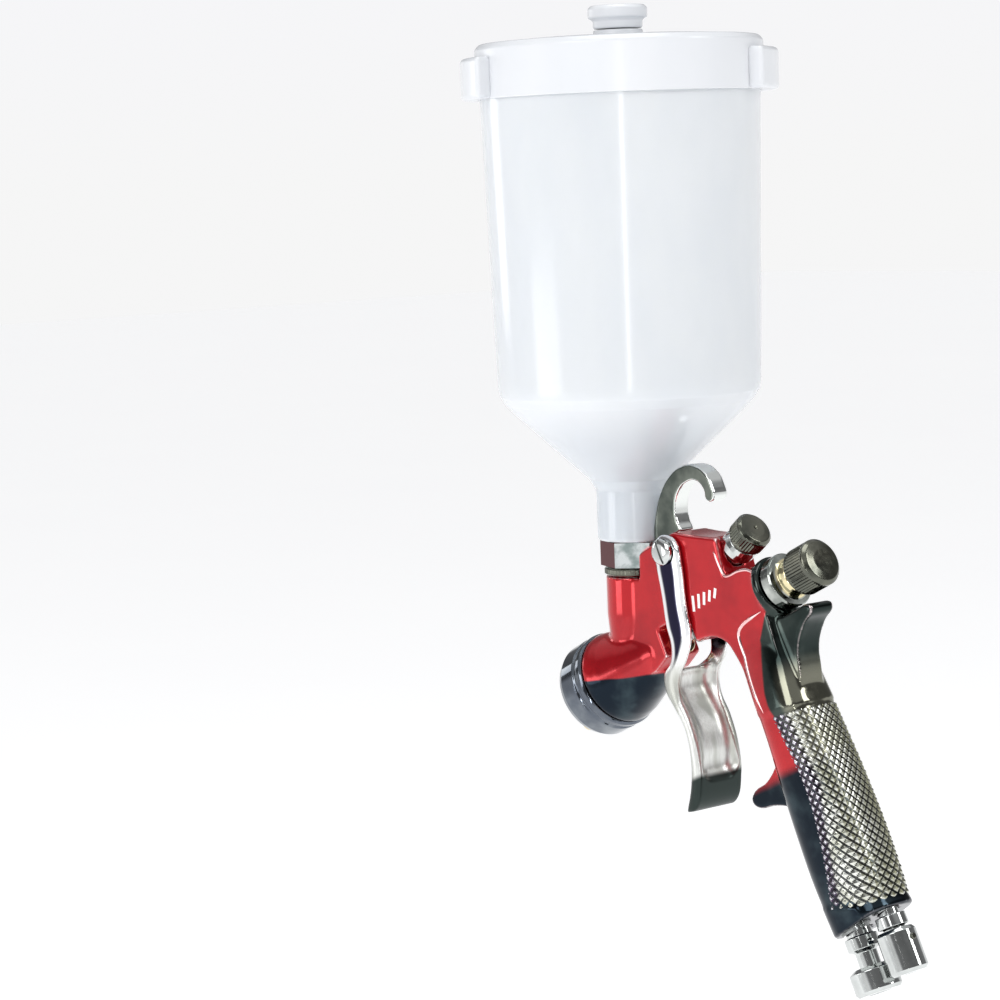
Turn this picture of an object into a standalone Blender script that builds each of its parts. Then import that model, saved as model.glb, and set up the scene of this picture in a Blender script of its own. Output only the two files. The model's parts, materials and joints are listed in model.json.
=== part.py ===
"""Gravity-feed HVLP spray gun with a 600 ml cup, modelled as separate working pieces.

World frame: metres, +Z up along the cup's axis, the nozzle towards -X, the gun's left side
towards -Y, and the origin in the saddle of the hanging hook.

Two empties carry every piece. "gun_axes" stands where the nozzle axis crosses the cup axis:
its X runs rearward along the nozzle axis, its Z is square to that axis. "cup_axes" stands at
the same point with Z along the cup. Lengths below are millimetres; MM turns them to metres.
"""
import math

import bmesh
import bpy
from mathutils import Matrix, Vector

MM = 0.001
NOZZLE_TILT = math.radians(26.0)      # the nozzle droops this far when the cup hangs upright
SADDLE = (53.0, 43.9)                 # hook saddle in gun axes: rearward, up
CLEAR = 0.35                          # gap between pieces that touch on the real gun

# spray head, radii and places along the nozzle axis (front is negative)
RING_R, RING_FRONT, RING_REAR = 16.2, -24.2, -11.2
CAP_R, CAP_FACE, HORN_TIP = 11.8, -27.6, -34.0
HORN_OFFSET = 8.4
NEEDLE_R = 1.2
BARREL_R = 8.0

# casting
BODY_HALF = 7.5                       # half width of the flat-sided web
WINDOW_FRONT, WINDOW_REAR = 22.5, 38.6
BARREL_END = 17.4                     # the round front barrel stops here, in front of the trigger
WINDOW_TOP = 5.6
BODY_REAR = 74.3
COLUMN_R, COLUMN_TOP = 9.7, 30.6
PIVOT = (40.0, 26.0)                  # trigger pivot in gun axes
TRIGGER_HALF, ARM_INNER = 10.2, 8.1
STUD = (29.8, 2.2)                    # trigger studs that push the air valve
STUD_R = 1.6

# fluid and pattern controls
CHAMBER_R, CHAMBER_FRONT = 5.6, 46.8
KNOB_R, KNOB_FRONT, KNOB_REAR = 7.6, 84.2, 94.8
PATTERN_PLACE = (61.0, 17.0)
PATTERN_TILT = math.radians(14.0)
PATTERN_KNOB_R = 6.2

# handle foot: air inlet in front, flow valve behind
INLET_T, VALVE_T = 55.0, 69.9
FOOT_FRONT, FOOT_REAR = -107.8, -104.4
INLET_NUT_R, VALVE_KNOB_R = 7.5, 6.2

# cup, heights above the nozzle axis crossing
NECK_R, NECK_BOTTOM, NECK_TOP = 12.0, 42.4, 61.0
SHOULDER_Z, SHOULDER_R = 89.0, 42.8
RIM_Z, RIM_R, CUP_WALL = 199.5, 45.2, 1.9
LID_R, LID_SKIRT_Z, LID_EDGE_Z, LID_TOP_Z = 46.4, 186.2, 203.7, 205.4
LUG_R, LUG_TOP_Z = 51.3, 199.4
LUG_AZIMUTH, LUG_HALF_ANGLE = math.radians(48.0), math.radians(29.0)
VENT_R, VENT_NECK_R, VENT_TOP_Z = 9.6, 8.0, 214.8

ALONG_GUN = (0.0, math.radians(90.0), 0.0)      # a turned piece's own Z onto gun X
SIDE_PLATE = (math.radians(90.0), 0.0, 0.0)     # an outline's own XY onto gun XZ
ACROSS_GUN = (math.radians(-90.0), 0.0, 0.0)    # a turned piece's own Z onto gun Y


# --- scene ------------------------------------------------------------------------------------

def clear_scene():
    for item in list(bpy.data.objects):
        bpy.data.objects.remove(item, do_unlink=True)


def new_collection(name):
    group = bpy.data.collections.new(name)
    bpy.context.scene.collection.children.link(group)
    return group


def new_empty(name, location, rotation):
    empty = bpy.data.objects.new(name, None)
    empty.empty_display_size = 0.02
    empty.location = location
    empty.rotation_euler = rotation
    PARTS.objects.link(empty)
    return empty


def new_material(name, colour, metallic, roughness, transmission=0.0):
    material = bpy.data.materials.new(name)
    material.use_nodes = True
    shader = material.node_tree.nodes["Principled BSDF"]
    shader.inputs["Base Color"].default_value = (*colour, 1.0)
    shader.inputs["Metallic"].default_value = metallic
    shader.inputs["Roughness"].default_value = roughness
    shader.inputs["Transmission Weight"].default_value = transmission
    return material


def place(name, mesh, material, parent, location=(0, 0, 0), rotation=(0, 0, 0), cutter=False):
    piece = bpy.data.objects.new(name, mesh)
    (CUTTERS if cutter else PARTS).objects.link(piece)
    piece.parent = parent
    piece.location = Vector(location) * MM
    piece.rotation_euler = rotation
    if material:
        mesh.materials.clear()
        mesh.materials.append(material)
    if cutter:
        piece.hide_render = True
        piece.display_type = "WIRE"
    return piece


# --- shapes -----------------------------------------------------------------------------------

def turned(name, outer, material, parent, bore=None, steps=24, **placing):
    """A turned piece: outer runs top to bottom as (radius, height), bore bottom to top."""
    loop = list(outer) + list(bore) if bore else [(0.0, outer[0][1]), *outer, (0.0, outer[-1][1])]
    shape = bmesh.new()
    points = [shape.verts.new((r * MM, 0.0, z * MM)) for r, z in loop]
    for start, end in zip(points, points[1:]):
        shape.edges.new((start, end))
    if bore:
        shape.edges.new((points[-1], points[0]))
    mesh = bpy.data.meshes.new(name)
    shape.to_mesh(mesh)
    shape.free()
    piece = place(name, mesh, material, parent, **placing)
    screw = piece.modifiers.new("turn", "SCREW")
    screw.axis = "Z"
    screw.steps = steps
    screw.render_steps = steps
    screw.use_merge_vertices = True
    screw.merge_threshold = 0.00001
    screw.use_smooth_shade = True
    return piece


def outline_mesh(name, points, half_thickness, resolution):
    """A flat outline of (x, y, corner) points extruded both ways; corner is True for a sharp one."""
    curve = bpy.data.curves.new(name, "CURVE")
    curve.dimensions = "2D"
    curve.fill_mode = "BOTH"
    curve.extrude = half_thickness * MM
    spline = curve.splines.new("BEZIER")
    spline.bezier_points.add(len(points) - 1)
    spline.use_cyclic_u = True
    spline.resolution_u = resolution
    for knot, (x, y, corner) in zip(spline.bezier_points, points):
        knot.co = (x * MM, y * MM, 0.0)
        kind = "VECTOR" if corner else "AUTO"
        knot.handle_left_type = kind
        knot.handle_right_type = kind
    guide = bpy.data.objects.new(name + "_curve", curve)
    CUTTERS.objects.link(guide)
    bpy.context.view_layer.update()
    mesh = bpy.data.meshes.new_from_object(guide.evaluated_get(bpy.context.evaluated_depsgraph_get()))
    bpy.data.objects.remove(guide, do_unlink=True)
    shape = bmesh.new()
    shape.from_mesh(mesh)
    bmesh.ops.remove_doubles(shape, verts=shape.verts, dist=0.00001)
    bmesh.ops.recalc_face_normals(shape, faces=shape.faces)
    shape.to_mesh(mesh)
    shape.free()
    return mesh


def plate(name, points, half_thickness, material, parent, edge=0.0, resolution=3, **placing):
    """A plate in the gun's side plane with its cap edges rounded by edge."""
    mesh = outline_mesh(name, points, half_thickness, resolution)
    piece = place(name, mesh, material, parent, rotation=SIDE_PLATE, **placing)
    if edge:
        bevel = piece.modifiers.new("rounded edges", "BEVEL")
        bevel.width = edge * MM
        bevel.segments = 2
        bevel.limit_method = "ANGLE"
        bevel.angle_limit = math.radians(50.0)
    return piece


def rounded_section(front, rear, n_front, n_rear, half_width, steps=24, squareness=3.2):
    """A rounded rectangle across the handle, as a superellipse between its front and rear."""
    middle, depth = (front + rear) / 2, (rear - front) / 2
    ring = []
    for step in range(steps):
        angle = 2 * math.pi * step / steps
        c, s = math.cos(angle), math.sin(angle)
        x = math.copysign(abs(c) ** (2 / squareness), c)
        y = math.copysign(abs(s) ** (2 / squareness), s)
        n = (n_front + n_rear) / 2 + (n_rear - n_front) / 2 * x
        ring.append(Vector((middle + depth * x, half_width * y, n)) * MM)
    return ring


def loft(name, rings, material, parent, **placing):
    """A closed body through a row of rings that run downward."""
    shape = bmesh.new()
    loops = [[shape.verts.new(point) for point in ring] for ring in rings]
    count = len(rings[0])
    for upper, lower in zip(loops, loops[1:]):
        for i in range(count):
            j = (i + 1) % count
            shape.faces.new((upper[i], lower[i], lower[j], upper[j]))
    shape.faces.new(loops[0])
    shape.faces.new(reversed(loops[-1]))
    bmesh.ops.recalc_face_normals(shape, faces=shape.faces)
    mesh = bpy.data.meshes.new(name)
    shape.to_mesh(mesh)
    shape.free()
    mesh.shade_smooth()
    mesh.set_sharp_from_angle(angle=math.radians(40.0))
    return place(name, mesh, material, parent, **placing)


def prism(name, sides, radius, bottom, top, material, parent, turn=0.0, **placing):
    """An upright prism; radius reaches its corners and turn spins it about its axis."""
    shape = bmesh.new()
    bmesh.ops.create_cone(shape, cap_ends=True, segments=sides, radius1=radius * MM,
                          radius2=radius * MM, depth=(top - bottom) * MM)
    bmesh.ops.rotate(shape, verts=shape.verts, cent=(0, 0, 0), matrix=Matrix.Rotation(turn, 3, "Z"))
    bmesh.ops.translate(shape, verts=shape.verts, vec=(0, 0, (top + bottom) / 2 * MM))
    mesh = bpy.data.meshes.new(name)
    shape.to_mesh(mesh)
    shape.free()
    return place(name, mesh, material, parent, **placing)


def rod_cutter(name, radius, bottom, top, parent, steps=16, **placing):
    """A round cutter along its own Z."""
    return prism(name, steps, radius, bottom, top, None, parent, cutter=True, **placing)


def combine(piece, other, operation):
    step = piece.modifiers.new(other.name, "BOOLEAN")
    step.operation = operation
    step.solver = "EXACT"
    step.object = other


def join(piece, *others):
    for other in others:
        combine(piece, other, "UNION")


def cut(piece, *others):
    for other in others:
        combine(piece, other, "DIFFERENCE")


def coil(name, radius, wire, bottom, top, turns, material, parent, **placing):
    """A compression spring as a closed tube along a helix."""
    curve = bpy.data.curves.new(name, "CURVE")
    curve.dimensions = "3D"
    curve.bevel_depth = wire * MM
    curve.bevel_resolution = 0
    curve.use_fill_caps = True
    per_turn = 8
    spline = curve.splines.new("POLY")
    spline.points.add(turns * per_turn)
    for i, point in enumerate(spline.points):
        angle = 2 * math.pi * i / per_turn
        height = bottom + wire + (top - bottom - 2 * wire) * i / (turns * per_turn)
        point.co = (radius * MM * math.cos(angle), radius * MM * math.sin(angle), height * MM, 1.0)
    return place_curve(name, curve, material, parent, **placing)


def place_curve(name, curve, material, parent, location=(0, 0, 0), rotation=(0, 0, 0)):
    piece = bpy.data.objects.new(name, curve)
    PARTS.objects.link(piece)
    piece.parent = parent
    piece.location = Vector(location) * MM
    piece.rotation_euler = rotation
    curve.materials.append(material)
    return piece


# --- casting ----------------------------------------------------------------------------------

def body_outline():
    """The flat-sided web: top deck, stepped rear, window for the trigger's studs, lower arch."""
    return [
        (4.0, -6.0, True), (6.0, 14.0, False), (14.0, 26.0, False), (21.0, 29.4, False),
        (28.0, 30.8, True), (44.0, 30.8, True), (50.0, 27.4, False), (61.6, 21.6, True),
        (59.4, 8.0, True),
        (72.8, 6.6, True), (74.0, -2.0, False), (72.8, -12.0, False), (71.0, -24.0, True),
        (53.0, -24.0, True), (50.4, -14.0, False), (47.4, -9.6, False), (43.6, -6.4, False),
        (WINDOW_REAR, -5.4, True), (WINDOW_REAR, WINDOW_TOP, True),
        (WINDOW_FRONT, WINDOW_TOP, True), (WINDOW_FRONT, -3.8, True), (15.0, -6.4, True),
    ]


def body_unions():
    """The solids that are cast in one with the web."""
    bell = turned("bell_solid", [
        (BARREL_R - 1.4, BARREL_END), (BARREL_R, BARREL_END - 1.4), (8.8, 12.4), (10.6, 7.0),
        (13.0, 0.5), (15.0, -6.0), (15.6, -9.6), (15.6, RING_REAR + CLEAR),
        (13.0, RING_REAR + CLEAR), (13.0, -17.0)], None, GUN, rotation=ALONG_GUN, cutter=True)
    barrel = turned("barrel_solid", [
        (9.2, BODY_REAR), (9.8, BODY_REAR - 0.8), (9.8, 66.0), (7.2, 62.6), (7.2, 52.0)],
        None, GUN, rotation=ALONG_GUN, cutter=True)
    column = turned("column_solid", [
        (COLUMN_R, COLUMN_TOP + 2.0), (COLUMN_R, 18.0),
        (COLUMN_R - 0.9, 8.0), (COLUMN_R - 1.4, 0.0)], None, CUP, cutter=True)
    stations = [
        (48.6, 72.4, -8.0, 6.6), (49.8, 72.6, -14.0, 7.4), (50.9, 72.4, -22.0, 9.0),
        (52.0, 72.6, -33.0, 10.6), (52.2, 73.2, -44.0, 11.3), (51.2, 74.4, -58.0, 11.6),
        (50.2, 75.4, -74.0, 11.6), (49.8, 75.6, -90.0, 11.4), (50.4, 75.0, -101.0, 11.1)]
    rings = [rounded_section(front, rear, n, n, half) for front, rear, n, half in stations]
    rings.append(rounded_section(50.8, 75.0, FOOT_FRONT + 0.6, FOOT_REAR + 0.6, 10.9))
    rings.append(rounded_section(51.4, 74.4, FOOT_FRONT, FOOT_REAR, 10.3))
    handle = loft("handle_solid", rings, None, GUN, cutter=True)
    spur = plate("spur_solid", [
        (66.0, -6.0, True), (74.0, -9.9, False), (81.0, -10.4, False), (87.2, -10.8, False),
        (88.0, -12.4, False), (82.4, -15.8, False), (76.8, -21.4, False), (74.0, -29.0, False),
        (68.0, -42.0, True)], 5.0, None, GUN, edge=1.8, cutter=True)
    finger_hook = plate("finger_hook_solid", [
        (56.0, -42.0, True), (51.0, -49.4, False), (44.0, -53.8, False), (36.2, -55.4, False),
        (34.4, -57.8, False), (36.4, -60.4, False), (43.0, -61.8, False), (49.6, -64.6, False),
        (56.0, -72.0, True)], 4.8, None, GUN, edge=1.8, cutter=True)
    return bell, barrel, column, handle, spur, finger_hook


def body_cutters():
    """Air, paint and needle passages, the pin hole and the seats of the fittings."""
    along = {"rotation": ALONG_GUN}
    return (
        rod_cutter("air_chamber_cut", 10.6, -18.0, -8.0, GUN, **along),
        rod_cutter("tip_thread_cut", 4.4, -9.0, 6.0, GUN, **along),
        rod_cutter("needle_way_cut", 2.0, 5.0, 13.0, GUN, **along),
        rod_cutter("packing_cut", 3.4, 12.0, 24.0, GUN, **along),
        rod_cutter("adapter_room_cut", 12.0, COLUMN_TOP, 60.0, CUP, steps=32),
        rod_cutter("paint_way_cut", 3.0, 0.0, 16.0, CUP),
        rod_cutter("adapter_seat_cut", 7.2, 15.0, 32.0, CUP),
        rod_cutter("spindle_way_cut", 3.8, 38.0, CHAMBER_FRONT + 1.0, GUN, **along),
        rod_cutter("valve_chamber_cut", CHAMBER_R, CHAMBER_FRONT, BODY_REAR + 1.0, GUN, **along),
        rod_cutter("pivot_hole_cut", 2.6, -12.0, 12.0, GUN, location=(PIVOT[0], 0, PIVOT[1]),
                   rotation=ACROSS_GUN),
        rod_cutter("hook_stud_cut", 2.3, 22.0, 33.0, GUN, location=(33.4, 0, 0)),
        rod_cutter("pattern_seat_cut", 4.3, -11.0, 3.0, PATTERN),
        rod_cutter("pattern_spot_face_cut", 6.4, 0.3, 14.0, PATTERN, steps=28),
        rod_cutter("inlet_seat_cut", 4.6, -132.0, -84.0, GUN, location=(INLET_T, 0, 0)),
        rod_cutter("valve_seat_cut", 3.6, -128.0, -88.0, GUN, location=(VALVE_T, 0, 0)),
    )


def make_body(red):
    body = plate("gun_body", body_outline(), BODY_HALF, red, GUN, edge=0.9)
    join(body, *body_unions())
    cut(body, *body_cutters())


def make_hook(chrome):
    hook = plate("hanging_hook", [
        (29.6, 31.2, True), (30.6, 34.4, False), (35.0, 40.6, False), (40.4, 45.6, False),
        (46.6, 48.7, False), (53.0, 49.4, False), (58.6, 47.6, False), (62.4, 43.4, False),
        (63.4, 38.6, False), (62.6, 34.8, False), (60.6, 34.0, False), (59.0, 35.4, False),
        (59.4, 38.8, False), (57.6, 42.4, False), (SADDLE[0], SADDLE[1], False),
        (48.0, 42.6, False), (44.6, 39.0, False), (43.2, 35.0, False), (43.4, 31.2, True)],
        3.1, chrome, GUN, edge=0.9)
    join(hook, rod_cutter("hook_stud_solid", 1.95, 24.6, 32.4, GUN, location=(33.4, 0, 0)))


# --- spray head -------------------------------------------------------------------------------

def make_air_cap_ring(chrome):
    groove = RING_R - 0.7
    turned("air_cap_ring", [
        (RING_R - 0.7, RING_REAR), (RING_R, RING_REAR - 0.7), (RING_R, -13.6), (groove, -14.2),
        (groove, -15.0), (RING_R, -15.6), (RING_R, -21.6), (RING_R - 0.9, RING_FRONT + 0.5),
        (RING_R - 1.8, RING_FRONT)], chrome, GUN, bore=[
        (12.2, RING_FRONT), (12.2, -22.2), (13.7, -22.2), (13.7, RING_REAR)],
        steps=32, rotation=ALONG_GUN)


def make_air_cap(brass):
    cap = turned("air_cap", [
        (13.3, -19.9), (13.3, -21.85), (CAP_R, -21.85), (CAP_R, -26.0), (10.6, CAP_FACE + 0.3),
        (7.0, CAP_FACE)], brass, GUN, bore=[(3.3, CAP_FACE), (3.3, -25.2), (10.0, -25.2), (10.0, -19.9)],
        rotation=ALONG_GUN)
    for side, name in ((1, "upper_horn"), (-1, "lower_horn")):
        horn = turned(name, [(3.2, -25.6), (3.2, -28.0), (2.4, HORN_TIP + 0.4), (1.8, HORN_TIP)],
                      None, GUN, steps=16, location=(0, 0, side * HORN_OFFSET),
                      rotation=ALONG_GUN, cutter=True)
        join(cap, horn)


def make_fluid_tip(steel):
    turned("fluid_tip", [
        (3.9, 4.6), (3.9, -8.3), (8.6, -8.3), (8.6, -10.4), (5.2, -11.6), (4.4, -19.0),
        (2.5, -24.6), (2.5, -27.0)], steel, GUN, bore=[
        (0.85, -27.0), (0.85, -25.6), (1.75, -23.6), (1.75, 4.6)], rotation=ALONG_GUN)


def make_distributor(steel):
    """The ring that spreads the air behind the cap."""
    turned("air_distributor", [
        (10.2, -12.3), (10.2, -16.0), (9.0, -18.0)], steel, GUN, bore=[
        (6.0, -18.0), (6.0, -12.3)], rotation=ALONG_GUN)


def make_needle(steel):
    turned("fluid_needle", [
        (NEEDLE_R, 70.0), (NEEDLE_R, 54.4), (3.3, 54.4), (3.3, 51.0), (NEEDLE_R, 51.0),
        (NEEDLE_R, -22.9), (0.4, -26.4)], steel, GUN, steps=16, rotation=ALONG_GUN)


def make_packing_nut(brass):
    turned("needle_packing_nut", [
        (3.9, 25.2), (4.3, 24.8), (4.3, WINDOW_FRONT + CLEAR), (3.0, WINDOW_FRONT + CLEAR),
        (3.0, 13.4)], brass, GUN, bore=[(1.6, 13.4), (1.6, 25.2)], steps=16, rotation=ALONG_GUN)


# --- air valve and fluid control ----------------------------------------------------------------

def make_air_valve(steel, spring_steel):
    turned("air_valve_spindle", [
        (4.9, 49.5), (4.9, 47.6), (2.7, 47.3), (2.7, 33.5), (3.3, 33.5), (3.3, 31.9)],
        steel, GUN, bore=[(1.65, 31.9), (1.65, 49.5)], steps=20, rotation=ALONG_GUN)
    coil("air_valve_spring", 4.6, 0.35, 50.0, 65.4, 6, spring_steel, GUN, rotation=ALONG_GUN)
    coil("needle_spring", 2.5, 0.35, 54.9, 76.6, 8, spring_steel, GUN, rotation=ALONG_GUN)


def make_fluid_control(chrome, dark):
    turned("fluid_control_sleeve", [
        (5.4, 83.6), (6.0, 83.0), (6.0, 80.2), (7.0, 79.6), (8.4, 79.2), (8.8, 78.6), (8.8, 75.4),
        (8.4, BODY_REAR + CLEAR + 0.15), (5.2, BODY_REAR + CLEAR + 0.15), (5.2, 66.0)],
        chrome, GUN, bore=[(3.6, 66.0), (3.6, 83.6)], rotation=ALONG_GUN)
    turned("fluid_control_knob", [
        (3.6, KNOB_REAR + 0.3), (KNOB_R - 1.2, KNOB_REAR - 0.1), (KNOB_R, KNOB_REAR - 1.2),
        (KNOB_R, KNOB_FRONT + 0.8), (KNOB_R - 0.8, KNOB_FRONT), (3.2, KNOB_FRONT), (3.2, 77.4)],
        dark, GUN, rotation=ALONG_GUN)


def make_pattern_control(chrome, dark):
    turned("pattern_valve_body", [
        (4.6, 4.9), (5.2, 4.4), (5.8, 3.0), (5.8, 0.7), (3.95, 0.7), (3.95, -8.6)],
        chrome, PATTERN, bore=[(2.3, -8.6), (2.3, 4.9)])
    turned("pattern_valve_stem", [
        (1.9, 8.0), (1.9, -9.0), (0.6, -10.4)], chrome, PATTERN, steps=16)
    turned("pattern_knob", [
        (3.0, 12.1), (PATTERN_KNOB_R - 1.0, 11.8), (PATTERN_KNOB_R, 10.9), (PATTERN_KNOB_R, 6.0),
        (PATTERN_KNOB_R - 0.7, 5.3)], dark, PATTERN, bore=[
        (2.25, 5.3), (2.25, 8.6), (0.2, 8.6), (0.2, 12.1)])


# --- trigger ------------------------------------------------------------------------------------

def trigger_front():
    """The front edge of the blade and arms, from the arm's top down to the tip."""
    return [
        (34.6, 26.6, False), (31.2, 14.0, False), (28.4, 4.0, False), (27.6, -1.6, False),
        (24.8, -6.2, False), (20.2, -8.8, False), (18.3, -13.6, False), (19.4, -20.0, False),
        (20.6, -27.0, False),
        (19.6, -34.4, False), (15.4, -44.0, False), (8.8, -52.2, True)]


def trigger_rear():
    """The rear edge, from the tip up to the arm's top."""
    return [
        (13.0, -52.6, False), (19.6, -45.6, False), (23.0, -37.0, False), (24.2, -27.0, False),
        (23.8, -18.0, False), (26.2, -12.4, False), (32.2, -8.2, False), (37.6, -2.4, False),
        (40.6, 8.0, False), (44.8, 20.0, False), (45.8, 27.0, False), (41.6, 31.2, False),
        (36.8, 30.6, False)]


def make_trigger(steel):
    trigger = plate("trigger", trigger_front() + trigger_rear(), TRIGGER_HALF, steel, GUN, edge=1.0)
    cut(trigger, plate("trigger_inside_cut", [
        (60.0, 60.0, True), (-10.0, 60.0, True), (-10.0, -5.0, True), (16.0, -7.2, True),
        (21.4, -8.4, False), (24.0, -9.2, False), (22.4, -11.2, False), (20.9, -14.4, False),
        (21.4, -20.0, False), (22.5, -27.0, False), (21.4, -34.8, False), (18.2, -42.0, False),
        (19.4, -46.0, True), (60.0, -46.0, True)], ARM_INNER, None, GUN, cutter=True))
    for side, name in ((-1, "left"), (1, "right")):
        ends = sorted((side * 2.6, side * (ARM_INNER + 0.6)))
        stud = rod_cutter(name + "_stud_solid", STUD_R, *ends, GUN, steps=16,
                          location=(STUD[0], 0, STUD[1]), rotation=ACROSS_GUN)
        join(trigger, stud)
    cut(trigger, rod_cutter("trigger_pivot_cut", 2.6, -14.0, 14.0, GUN,
                            location=(PIVOT[0], 0, PIVOT[1]), rotation=ACROSS_GUN))


def make_pivot(chrome):
    place_at_pivot = {"location": (PIVOT[0], 0, PIVOT[1]), "rotation": ACROSS_GUN}
    head = TRIGGER_HALF + CLEAR
    turned("trigger_pivot_pin", [
        (2.2, head - 0.1), (2.2, -head), (4.3, -head), (4.3, -head - 0.8), (3.4, -head - 1.6)],
        chrome, GUN, **place_at_pivot)
    cut(bpy.data.objects["trigger_pivot_pin"],
        rod_cutter("pivot_thread_cut", 1.5, head - 8.0, head + 1.0, GUN, steps=16, **place_at_pivot))
    turned("trigger_pivot_screw", [
        (3.4, head + 1.8), (4.3, head + 1.0), (4.3, head + 0.25), (1.2, head + 0.25),
        (1.2, head - 7.0)], chrome, GUN, steps=20, **place_at_pivot)


# --- foot of the handle -------------------------------------------------------------------------

def make_air_inlet(chrome):
    top = FOOT_FRONT + 0.4
    at_foot = {"location": (INLET_T, 0, 0)}
    turned("air_inlet_stem", [
        (4.25, -88.0), (4.25, top - 1.3), (5.3, top - 1.3), (5.3, -112.6), (3.5, -113.6),
        (3.5, -126.4)], chrome, GUN, bore=[(2.3, -126.4), (2.3, -88.0)], **at_foot)
    turned("air_inlet_nut", [
        (5.6, -118.2), (INLET_NUT_R, -119.4), (INLET_NUT_R, -125.6), (INLET_NUT_R - 0.8, -126.6)],
        chrome, GUN, bore=[(3.85, -126.6), (3.85, -118.2)], **at_foot)


def make_flow_valve(chrome, dark):
    at_foot = {"location": (VALVE_T, 0, 0)}
    turned("flow_valve_body", [
        (3.2, -90.0), (3.2, -106.4), (4.8, -106.4), (4.9, -110.0), (3.4, -110.4), (3.4, -116.0)],
        chrome, GUN, bore=[(2.0, -116.0), (2.0, -90.0)], **at_foot)
    turned("flow_valve_stem", [
        (1.65, -91.0), (1.65, -120.0)], chrome, GUN, steps=16, **at_foot)
    knob = turned("air_flow_knob", [
        (5.4, -110.9), (VALVE_KNOB_R, -112.0), (VALVE_KNOB_R, -123.6), (VALVE_KNOB_R - 1.0, -124.6)],
        chrome, GUN, bore=[(2.0, -124.6), (2.0, -116.6), (3.8, -116.6), (3.8, -110.9)],
        **at_foot)
    screw_place = {"location": (VALVE_T, 0, -114.6), "rotation": ALONG_GUN}
    cut(knob, rod_cutter("set_screw_cut", 1.3, 4.2, 8.0, GUN, steps=16, **screw_place))
    turned("valve_set_screw", [(0.8, 6.9), (1.0, 6.7), (1.0, 4.6)], dark, GUN, steps=16,
           **screw_place)


# --- cup ----------------------------------------------------------------------------------------

def make_adapter(chrome, dark):
    hexagon = prism("cup_adapter", 6, 11.4, 33.9, NECK_BOTTOM - CLEAR, chrome, CUP,
                    turn=math.radians(12.0))
    core = turned("adapter_core", [(8.8, 56.0), (8.8, 36.0), (6.8, 36.0), (6.8, 17.0)],
                  None, CUP, cutter=True)
    join(hexagon, core)
    cut(hexagon, rod_cutter("adapter_bore_cut", 4.4, 10.0, 60.0, CUP))
    turned("adapter_lock_ring", [
        (9.6, 33.6), (10.2, 33.0), (10.2, 31.5), (9.6, COLUMN_TOP + CLEAR)], dark, CUP,
        bore=[(7.15, COLUMN_TOP + CLEAR), (7.15, 33.6)])


def make_strainer(white):
    """The paint strainer that stands in the neck on the adapter."""
    turned("cup_strainer", [
        (1.5, 84.0), (6.2, 60.0), (9.0, 57.6), (9.0, 56.4)], white, CUP, bore=[
        (5.6, 56.4), (5.2, 60.0), (0.6, 82.0), (0.6, 84.0)], steps=20)


def make_cup(plastic):
    shoulder = SHOULDER_R - 5.0
    inner = NECK_R - 2.6
    turned("paint_cup", [
        (RIM_R, RIM_Z), (RIM_R, LID_SKIRT_Z), (SHOULDER_R, SHOULDER_Z + 5.0),
        (SHOULDER_R - 0.6, SHOULDER_Z + 1.6), (SHOULDER_R - 2.4, SHOULDER_Z - 1.4),
        (shoulder, SHOULDER_Z - 4.2), (NECK_R + 2.0, NECK_TOP + 1.4), (NECK_R, NECK_TOP - 2.0),
        (NECK_R, NECK_BOTTOM)], plastic, CUP, bore=[
        (inner, NECK_BOTTOM), (inner, NECK_TOP - 0.6), (NECK_R + 0.2, NECK_TOP + 2.8),
        (shoulder - 1.0, SHOULDER_Z - 2.0), (SHOULDER_R - 3.2, SHOULDER_Z + 1.0),
        (SHOULDER_R - CUP_WALL, SHOULDER_Z + 5.4), (RIM_R - CUP_WALL, LID_SKIRT_Z),
        (RIM_R - CUP_WALL, RIM_Z)], steps=40)


def lug(name, azimuth):
    """A grip lug: an arc-shaped block on the lid's skirt."""
    inner, outer = LID_R - 0.7, LUG_R
    steps = 8
    angles = [azimuth + LUG_HALF_ANGLE * (2 * i / steps - 1) for i in range(steps + 1)]
    shape = bmesh.new()
    low = [shape.verts.new((r * math.cos(a) * MM, r * math.sin(a) * MM, LID_SKIRT_Z * MM))
           for r, row in ((outer, angles), (inner, reversed(angles))) for a in row]
    base = shape.faces.new(low)
    top = bmesh.ops.extrude_face_region(shape, geom=[base])["geom"]
    raised = [item for item in top if isinstance(item, bmesh.types.BMVert)]
    rise = (LUG_TOP_Z - LID_SKIRT_Z) * MM
    bmesh.ops.translate(shape, vec=(0, 0, rise), verts=raised)
    bmesh.ops.recalc_face_normals(shape, faces=shape.faces)
    mesh = bpy.data.meshes.new(name)
    shape.to_mesh(mesh)
    shape.free()
    piece = place(name, mesh, None, CUP, cutter=True)
    bevel = piece.modifiers.new("rounded edges", "BEVEL")
    bevel.width = 1.4 * MM
    bevel.segments = 2
    bevel.limit_method = "ANGLE"
    bevel.angle_limit = math.radians(50.0)
    return piece


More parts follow.
